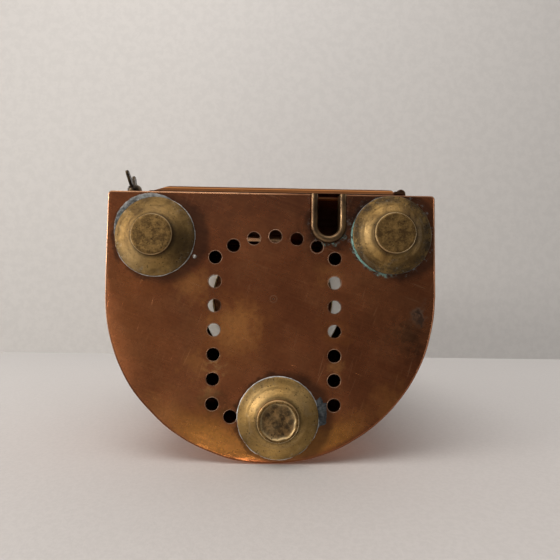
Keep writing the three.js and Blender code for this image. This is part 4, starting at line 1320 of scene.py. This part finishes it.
def make_door():
    """A pressed copper lid: flat rim, bevel and raised field, open behind, soft from use."""
    x0, x1 = HINGE_X + KNUCKLE_R + 0.7 * MM, DOOR_HI.x
    z0, z1 = DOOR_LO.z, DOOR_HI.z
    near, far = DOOR_LO.y + 0.6 * MM, DOOR_HI.y
    middle_x, middle_z = (x0 + x1) / 2, (z0 + z1) / 2
    outer = []
    for inset, height in DOOR_STEPS:
        y = near + height * MM * (far - near) / (DOOR_STEPS[-1][1] * MM)
        end = min(inset, 5 + inset * 0.45) * MM
        hinge_inset = min(inset * 0.1, 1.0) * MM if inset < 12 else (inset - 11) * 0.6 * MM + MM
        flat = rounded_rectangle(x0 + hinge_inset, x1 - inset * MM, z0 + end, z1 - end,
                                 (2.5 + inset * 0.05) * MM)
        outer.append([Vector((x, y, z)) for x, z in flat])
    lip = [Vector((v.x + math.copysign(DOOR_LIP, middle_x - v.x), near,
                   v.z + math.copysign(DOOR_LIP, middle_z - v.z))) for v in outer[DOOR_RIM]]
    inner = [[v - Vector((0, DOOR_SHEET, 0)) for v in loop] for loop in outer[DOOR_RIM + 1:]]
    verts, faces = strips(outer + inner[::-1] + [lip], closed_loop=True)
    count = len(lip)
    field = (len(outer) - 1) * count  # the first point of the raised field's outside
    faces = [f for f in faces if not (min(f) >= field and max(f) < field + 2 * count)]
    faces += [tuple(range(field, field + count)), tuple(range(field + count, field + 2 * count))]
    for v in verts:
        if v.y > far - MM:
            v.y = min(far, v.y + 0.25 * MM * noise.noise(Vector((v.x * 30, 3, v.z * 30))))
    piece("door_lid", (verts, faces), "door_copper", "door", ["door"], sharp=32)


make_door()

RAIL_Z = 203 * MM  # above the base plate
RAIL_LIP = 64.3  # the lip's upper edge, in mm from the centre line
RAIL_ENDS = ((-13 * MM, 66.1), (36 * MM, 68.3))  # x, and the lip's lower edge in mm from the centre line
RAIL_BACK = 72.4


def make_door_rail():
    """A folded copper rail across the door's inside, whose slanting lip the lens lights up."""
    rings = []
    for x, fold in RAIL_ENDS:
        rise = 0.9 * (fold - RAIL_LIP)
        section = ((RAIL_LIP, rise), (fold, 0), (RAIL_BACK, 0), (RAIL_BACK, 1), (fold + 0.4, 1),
                   (RAIL_LIP + 0.8, rise + 0.6))
        rings.append([Vector((x, y, z)) for y, z in mm(section, AXIS_Y, PLATE_Z + RAIL_Z)])
    piece("door_rail", strips(rings, caps=True), "rail_copper", "door", sharp=30, bevel=0.15 * MM)


make_door_rail()


def rolled_knuckle(z0, z1):
    ring = ((-1.2, 0), (-0.3, 0), (0, 0.3))
    profile = mm(ring, KNUCKLE_R, z0) + mm([(r, -z) for r, z in reversed(ring)], KNUCKLE_R, z1)
    return moved(lathe(profile, 36), (HINGE_X, HINGE_Y, 0))


def make_door_knuckles():
    """The door's knuckles lie between the wall's leaves, and set in from the door's ends like the pin."""
    pin_lo, pin_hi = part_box("hinge_pin")
    gaps = []
    for leaf in LEAVES:
        lo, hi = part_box(leaf)
        gaps += [lo.z - 0.4 * MM, hi.z + 0.4 * MM]
    stops = [pin_lo.z + MM] + gaps + [pin_hi.z - MM]
    ends = [DOOR_LO.z] + gaps + [DOOR_HI.z]
    parts = []
    for k in range(0, len(stops), 2):
        parts.append(rolled_knuckle(stops[k], stops[k + 1]))
        parts.append(block((HINGE_X + 0.3 * MM, DOOR_LO.y + 1.2 * MM, ends[k]),
                           (HINGE_X + 6.5 * MM, DOOR_LO.y + 2.9 * MM, ends[k + 1])))
    piece("door_knuckles", joined(*parts), "door_copper", "door", sharp=40)


def make_leaf(node):
    lo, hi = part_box(node)
    plate = block((lo.x, lo.y, lo.z), (HINGE_X, lo.y + 1.4 * MM, hi.z))
    piece(node + "_plate", plate, "brass", sharp=40, bevel=0.3 * MM)
    piece(node + "_knuckle", rolled_knuckle(lo.z, hi.z), "brass", replaces=[node], sharp=40)
    heights = (lo.z + (hi.z - lo.z) * t for t in (0.18, 0.5, 0.82))
    domes(node + "_rivets", [((lo.x + 4.5 * MM, lo.y + 1.3 * MM, z), BACKWARD) for z in heights],
          1.6 * MM, 0.8 * MM, "brass")


def make_hinge_pin(rounding=0.5 * MM):
    lo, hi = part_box("hinge_pin")
    r = half_width("hinge_pin")
    profile = [(0, lo.z), (r * 0.7, lo.z), (r, lo.z + rounding), (r, hi.z - rounding), (r * 0.7, hi.z),
               (0, hi.z)]
    turned("hinge_pin_rod", "hinge_pin", profile, "pin_brass", segments=24)


make_door_knuckles()
for leaf in LEAVES:
    make_leaf(leaf)
make_hinge_pin()


# ---------------------------------------------------------------- wing catch
CATCH_X, CATCH_Z = middle("catch_boss").x, middle("catch_boss").z
# one wing, looked at along the catch's axis: how far out and how far up, in mm
WING = ((1.0, 0.3), (1.0, 4.0), (6.0, 6.2), (11.2, 8.3), (12.4, 8.6), (13.4, 8.2), (13.8, 7.2), (13.6, 5.9),
        (10, 3.4), (5, 0.8))
WING_MIDDLE = (6.5, 4.2)
WING_LEAN = Matrix.Rotation(math.radians(-14), 3, "Z")
# across the wing's thickness, in mm, and how much smaller its outline is there
WING_LAYERS = ((-0.95, 0.35), (-0.6, 0), (0.6, 0), (0.95, 0.35))


def make_wing(place, side):
    rings = []
    for across, shrink in WING_LAYERS:
        ring = []
        for out, up in WING:
            out = WING_MIDDLE[0] + (out - WING_MIDDLE[0]) * (1 - shrink * 0.12)
            up = WING_MIDDLE[1] + (up - WING_MIDDLE[1]) * (1 - shrink * 0.2)
            ring.append(WING_LEAN @ (Vector((across, out, side * up)) * MM) + place)
        rings.append(ring)
    return strips(rings, caps=True)


def make_catch():
    """A turned boss on the wall, and on it a hub with a tongue and two wings."""
    r = half_width("catch_boss")
    foot = Vector((CATCH_X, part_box("catch_boss")[0].y, CATCH_Z))
    profile = [(0, 0), (r, 0), (r, 0.8 * MM), (r * 0.93, 1.8 * MM), (r * 0.8, 3.2 * MM), (r * 0.74, 3.6 * MM),
               (0, 3.6 * MM)]
    piece("catch_boss_turned", moved(lathe(profile, 40), foot, FACING_BACK), "brass", replaces=["catch_boss"],
          sharp=40)
    place = Vector((CATCH_X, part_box("wing_catch")[0].y, CATCH_Z))
    hub = lathe(mm([(0, 0), (4.5, 0), (4.8, 0.5), (4.8, 2.2), (4.2, 3.8), (3, 4.9), (0, 5.4)]), 40)
    tongue = [(-4.0, 0), (4.0, 0), (3.8, 14)] + arc((0, 14.2), 3.8, 0, math.pi, 10)[1:-1] + [(-3.8, 14)]
    rings = [[place + Vector((x, y, z)) * MM for x, z in tongue] for y in (0.05, 1.45)]
    wings = [make_wing(place, side) for side in (1, -1)]
    shape = joined(moved(hub, place, FACING_BACK), strips(rings, caps=True), *wings)
    piece("wing_catch_cast", shape, "catch_metal", "catch", ["wing_catch"], sharp=45, weld=False)


make_catch()


# ---------------------------------------------------------------- lamp
COLLAR_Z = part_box("oil_font")[1].z  # the top of the font's collar
BURNER_Z = COLLAR_Z + 0.5 * MM


def make_font():
    """The spun oil font, with two beads round it and an open collar."""
    r, z = half_width("oil_font"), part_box("oil_font")[0].z
    shoulder = COLLAR_Z - 6 * MM
    swell = [(0.7 * math.sin(math.pi * k / 6) - 0.7, k / 2 - 1.5) for k in range(7)]
    bead_round = [(-0.7, -2)] + swell + [(-0.7, 2)]
    profile = [(0, z)] + mm([(-2, 0), (-0.6, 0.6), (0, 2)], r, z)
    profile += mm(bead_round, r, z + 10 * MM) + mm(bead_round, r, z + 96 * MM)
    profile += mm([(-0.7, -4), (-1.5, -1.4), (-4, 0)], r, shoulder)
    profile += mm([(16, 0), (16, 6), (14.8, 6), (14.8, -1.2)], 0, shoulder)
    profile += mm([(-4, -1.2), (-2.2, -5)], r, shoulder)
    profile += mm([(-2.2, 2), (-3, 1.2)], r, z) + [(0, z + 1.2 * MM)]
    turned("oil_font_spun", "oil_font", profile, "brass")


def make_tray():
    lo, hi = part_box("lamp_tray")
    r = half_width("lamp_tray")
    profile = [(0, lo.z)] + mm([(-1, 0), (0, 1)], r, lo.z) + mm([(0, -0.5), (-0.6, 0), (-1.2, -0.5)], r, hi.z)
    profile += mm([(-1.2, 2), (-2, 1.2)], r, lo.z) + [(0, lo.z + 1.2 * MM)]
    turned("lamp_tray_sheet", "lamp_tray", profile, "copper_inside")


def knurled(radius, height, teeth, depth, dome=0.8 * MM):
    """A milled knob standing on its flat end."""
    profile = [(0, 0), (radius * 0.92, 0), (radius, height * 0.1), (radius, height * 0.72),
               (radius * 0.9, height * 0.86), (radius * 0.6, height - dome * 0.3), (0, height)]

    def tooth(angle, r, z):
        on_band = r > radius * 0.95
        return (-depth * (0.5 + 0.5 * math.cos(teeth * angle)) if on_band else 0), 0
    return lathe(profile, teeth * 4, tooth)


def make_filler_cap():
    lo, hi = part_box("filler_cap")
    x, y = middle("filler_cap").xy
    cap = moved(knurled(half_width("filler_cap"), hi.z - lo.z, 20, 0.3 * MM), (x, y, lo.z))
    piece("filler_cap_milled", cap, "brass", "filler_cap", ["filler_cap"], sharp=30)


def make_burner():
    """A turned burner with a gallery for the glass, a slot for the wick and two rows of air holes."""
    lo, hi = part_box("burner")
    gallery = half_width("burner")
    profile = mm([(0, 0), (14.4, 0)], 0, lo.z)
    profile += mm([(14.4, 0), (16, 0.2), (16, 2.6), (14.6, 3.4), (12.4, 6), (12, 8)], 0, BURNER_Z)
    profile += mm([(12, 27), (13, 29), (18, 31)], 0, BURNER_Z)
    profile += [(gallery, BURNER_Z + 32.2 * MM)] + mm([(0, -9.2), (-1, -9)], gallery, hi.z)
    profile += mm([(15.4, -9), (15, -8), (13.6, -4.4), (9, -1.4), (0, 0)], 0, hi.z)
    burner = turned("burner_turned", "burner", profile, "brass")
    slot = block((-10 * MM, AXIS_Y - 1.6 * MM, lo.z - 9 * MM), (10 * MM, AXIS_Y + 1.6 * MM, hi.z + 9 * MM))
    drill = lathe(mm([(0, 8), (1.5, 8), (1.5, 20), (0, 20)]), 12)
    holes = []
    for k in range(14):
        turn = Matrix.Rotation(TAU * (k + 0.5) / 14, 3, "Z") @ ALONG_X
        holes += [moved(drill, (0, AXIS_Y, BURNER_Z + height * MM), turn) for height in (11, 24)]
    carve(burner, slot, joined(*holes))


def make_wick_knob():
    """A milled wheel on an axle along Y."""
    lo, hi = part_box("wick_knob")
    x, _, z = middle("wick_knob")
    wheel_y = hi.y - 5 * MM
    reach = wheel_y - lo.y + MM
    wheel = knurled(half_width("wick_knob"), 5 * MM, 28, 0.45 * MM)
    axle = lathe([(0, 0), (1.6 * MM, 0), (1.6 * MM, reach), (0, reach)], 20)
    shape = joined(moved(wheel, (x, wheel_y, z), FACING_BACK), moved(axle, (x, lo.y, z), FACING_BACK))
    piece("wick_knob_milled", shape, "brass", "wick_knob", ["wick_knob"], sharp=30)


def make_lamp_glass():
    """A blown chimney that swells twice over its height."""
    lo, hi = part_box("lamp_glass")
    r = half_width("lamp_glass")
    outside = [(r - 0.2 * MM * (1 - math.cos(TAU * k / 10)), lo.z + (hi.z - lo.z) * k / 20)
               for k in range(21)]
    inside = [(radius - 2 * MM, z) for radius, z in reversed(outside)]
    turned("lamp_glass_blown", "lamp_glass", outside + inside, "lamp_glass", sharp=60)


def make_wick(rows=60, frayed=3):
    """A flat cotton wick, slightly wavy, with its last rows frayed."""
    lo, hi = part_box("wick")
    # x, y, and whether the row is frayed there
    outline = ((lo.x, lo.y, 0), (0, lo.y, 1), (hi.x, lo.y, 0), (hi.x, hi.y, 1), (0, hi.y, 0), (lo.x, hi.y, 1))
    rings = []
    for k in range(rows):
        t = k / (rows - 1)
        wave = 0.12 * MM * math.sin(TAU * t * 9)
        fray = abs(0.5 * MM * noise.noise(Vector((k, 0, 3)))) if k >= rows - frayed else 0
        z = lo.z + (hi.z - lo.z) * t
        rings.append([Vector((x, y + wave, z - fray * loose)) for x, y, loose in outline])
    piece("wick_flat", strips(rings, caps=True), "cotton", "wick", ["wick"], sharp=50)


make_font()
make_tray()
make_filler_cap()
make_burner()
make_wick_knob()
make_lamp_glass()
make_wick()


# ---------------------------------------------------------------- CAD sheets that stay
KEPT_SHEETS = {"back_wall": "copper", "screen_left": "copper", "screen_right": "copper",
               "lens_floor": "copper_inside", "lens_roof": "copper_inside"}
for node, finish in KEPT_SHEETS.items():
    slot, material = FINISHES[finish]
    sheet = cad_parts[node]
    sheet.data.materials.clear()
    sheet.data.materials.append(material)


# ---------------------------------------------------------------- stage and light
def stage_material(name, colour, speck, square_on=False):
    """A matt surface seen only from its front, and if square_on only when it is faced nearly squarely."""
    n = Surface(name)
    n.tint(n.cloud(speck, 5, 0.7, 0.4, 0.6), colour, tuple(c * 0.95 for c in colour))
    n.dress(0.8, n.bump(n.noise(speck * 2, 4, 0.7), 0.0008, 0.2))
    unseen = n.add("NewGeometry").outputs["Backfacing"]
    if square_on:
        slant = n.add("LayerWeight").outputs["Facing"]
        unseen = n.most(unseen, n.span(slant, 0.34, 0.42))
    return n.share(n.add("BsdfTransparent"), unseen)


def stage_plane(name, corners, material):
    """A plane that is seen, but casts no shadow and throws no light on the lantern."""
    mesh = bpy.data.meshes.new(name)
    mesh.from_pydata([tuple(c) for c in corners], [], [(0, 1, 2, 3)])
    mesh.materials.append(material)
    obj = in_scene(name, mesh)
    obj.visible_shadow = False
    obj.visible_diffuse = False
    obj.visible_glossy = False


WALL_Z = PLATE_Z + 0.54
WALL_REACH = 0.95  # to either side and up
TABLE_Y = PLATE_LO.y - 0.4 * MM
TABLE_Z = -1.2  # where the table ends, beyond the camera
FAR = 3.0

table_paint = stage_material("table", (0.51, 0.485, 0.47), 420)
wall_paint = stage_material("wall", (0.68, 0.655, 0.636), 60, square_on=True)
floor_paint = stage_material("floor", (0.6, 0.59, 0.575), 120)
# the lantern lies on its front on the table, which is seen only from the lantern's side
stage_plane("table", [(-FAR, TABLE_Y, FAR), (FAR, TABLE_Y, FAR), (FAR, TABLE_Y, TABLE_Z),
                      (-FAR, TABLE_Y, TABLE_Z)], table_paint)
stage_plane("wall", [(-WALL_REACH, TABLE_Y, WALL_Z), (-WALL_REACH, WALL_REACH, WALL_Z),
                     (WALL_REACH, WALL_REACH, WALL_Z), (WALL_REACH, TABLE_Y, WALL_Z)], wall_paint)
# the floor that it stands on in the upright views
stage_plane("floor", [(-FAR, -FAR, 0), (FAR, -FAR, 0), (FAR, FAR, 0), (-FAR, FAR, 0)], floor_paint)


def area_light(name, place, target, size, power, colour=(1, 0.97, 0.93), mirrored=True):
    data = bpy.data.lights.new(name, "AREA")
    data.shape = "RECTANGLE"
    data.size, data.size_y = size
    data.energy = power
    data.color = colour
    obj = in_scene(name, data)
    obj.visible_camera = False
    obj.visible_glossy = mirrored
    direction = Vector(target) - Vector(place)
    obj.matrix_world = Matrix.Translation(place) @ direction.to_track_quat("-Z", "Y").to_matrix().to_4x4()


CENTRE = Vector((0, AXIS_Y, PLATE_Z))
area_light("key", (1.05, AXIS_Y + 0.26, -0.42), CENTRE, (0.32, 0.4), 5.5, (1, 0.95, 0.88))
area_light("over", (0.1, AXIS_Y + 1.3, -0.55), CENTRE, (1.2, 1.0), 7)
area_light("low_spark", (0.12, AXIS_Y - 0.72, -0.6), CENTRE - Vector((0, 0.09, 0)), (0.32, 0.14), 0.8,
           (1, 0.86, 0.66))
area_light("wall_wash", (0.3, AXIS_Y + 1.3, -0.4), (0, AXIS_Y + 0.1, WALL_Z), (0.9, 0.9), 7, (1, 0.97, 0.94),
           mirrored=False)
area_light("side_left", (1.5, AXIS_Y + 0.1, 0.75), (0, AXIS_Y, 0.15), (0.9, 0.7), 5)
area_light("side_right", (-1.5, AXIS_Y + 0.1, 0.75), (0, AXIS_Y, 0.15), (0.9, 0.7), 4)
area_light("front_left", (0.9, -1.3, 1.0), (0, AXIS_Y, 0.2), (0.9, 0.9), 16)
area_light("front_right", (-1.2, -0.9, 0.7), (0, AXIS_Y, 0.2), (0.7, 1.0), 9, (0.96, 0.98, 1))


def make_world():
    """Pale all round and above; dim below, most of all low on the right, to give the metal a dark side."""
    world = bpy.data.worlds.new("world")
    bpy.context.scene.world = world
    n = Nodes(world)
    axes = n.split("Generated")
    below = n.most(n.times(axes["Z"], -1.0), 0.0)
    lean = n.times(n.times(axes["X"], below), 1.5)
    height = n.plus(axes["Z"], lean)
    ramp = n.add("ValToRGB")
    n.link(n.times(n.plus(height, 1.2), 1 / 2.2), ramp.inputs[0])
    stops = ((0.0, 0.13), (0.09, 0.25), (0.28, 0.21), (0.42, 0.34), (0.53, 0.56), (0.75, 0.9))
    while len(ramp.color_ramp.elements) < len(stops):
        ramp.color_ramp.elements.new(0.5)
    for element, (position, level) in zip(ramp.color_ramp.elements, stops):
        element.position = position
        element.color = (level, level * 0.97, level * 0.94, 1)
    background = n.add("Background")
    output = n.add("OutputWorld")
    n.link(ramp.outputs[0], background.inputs["Color"])
    n.link(background.outputs[0], output.inputs["Surface"])


make_world()
bpy.context.scene.view_settings.view_transform = "Standard"
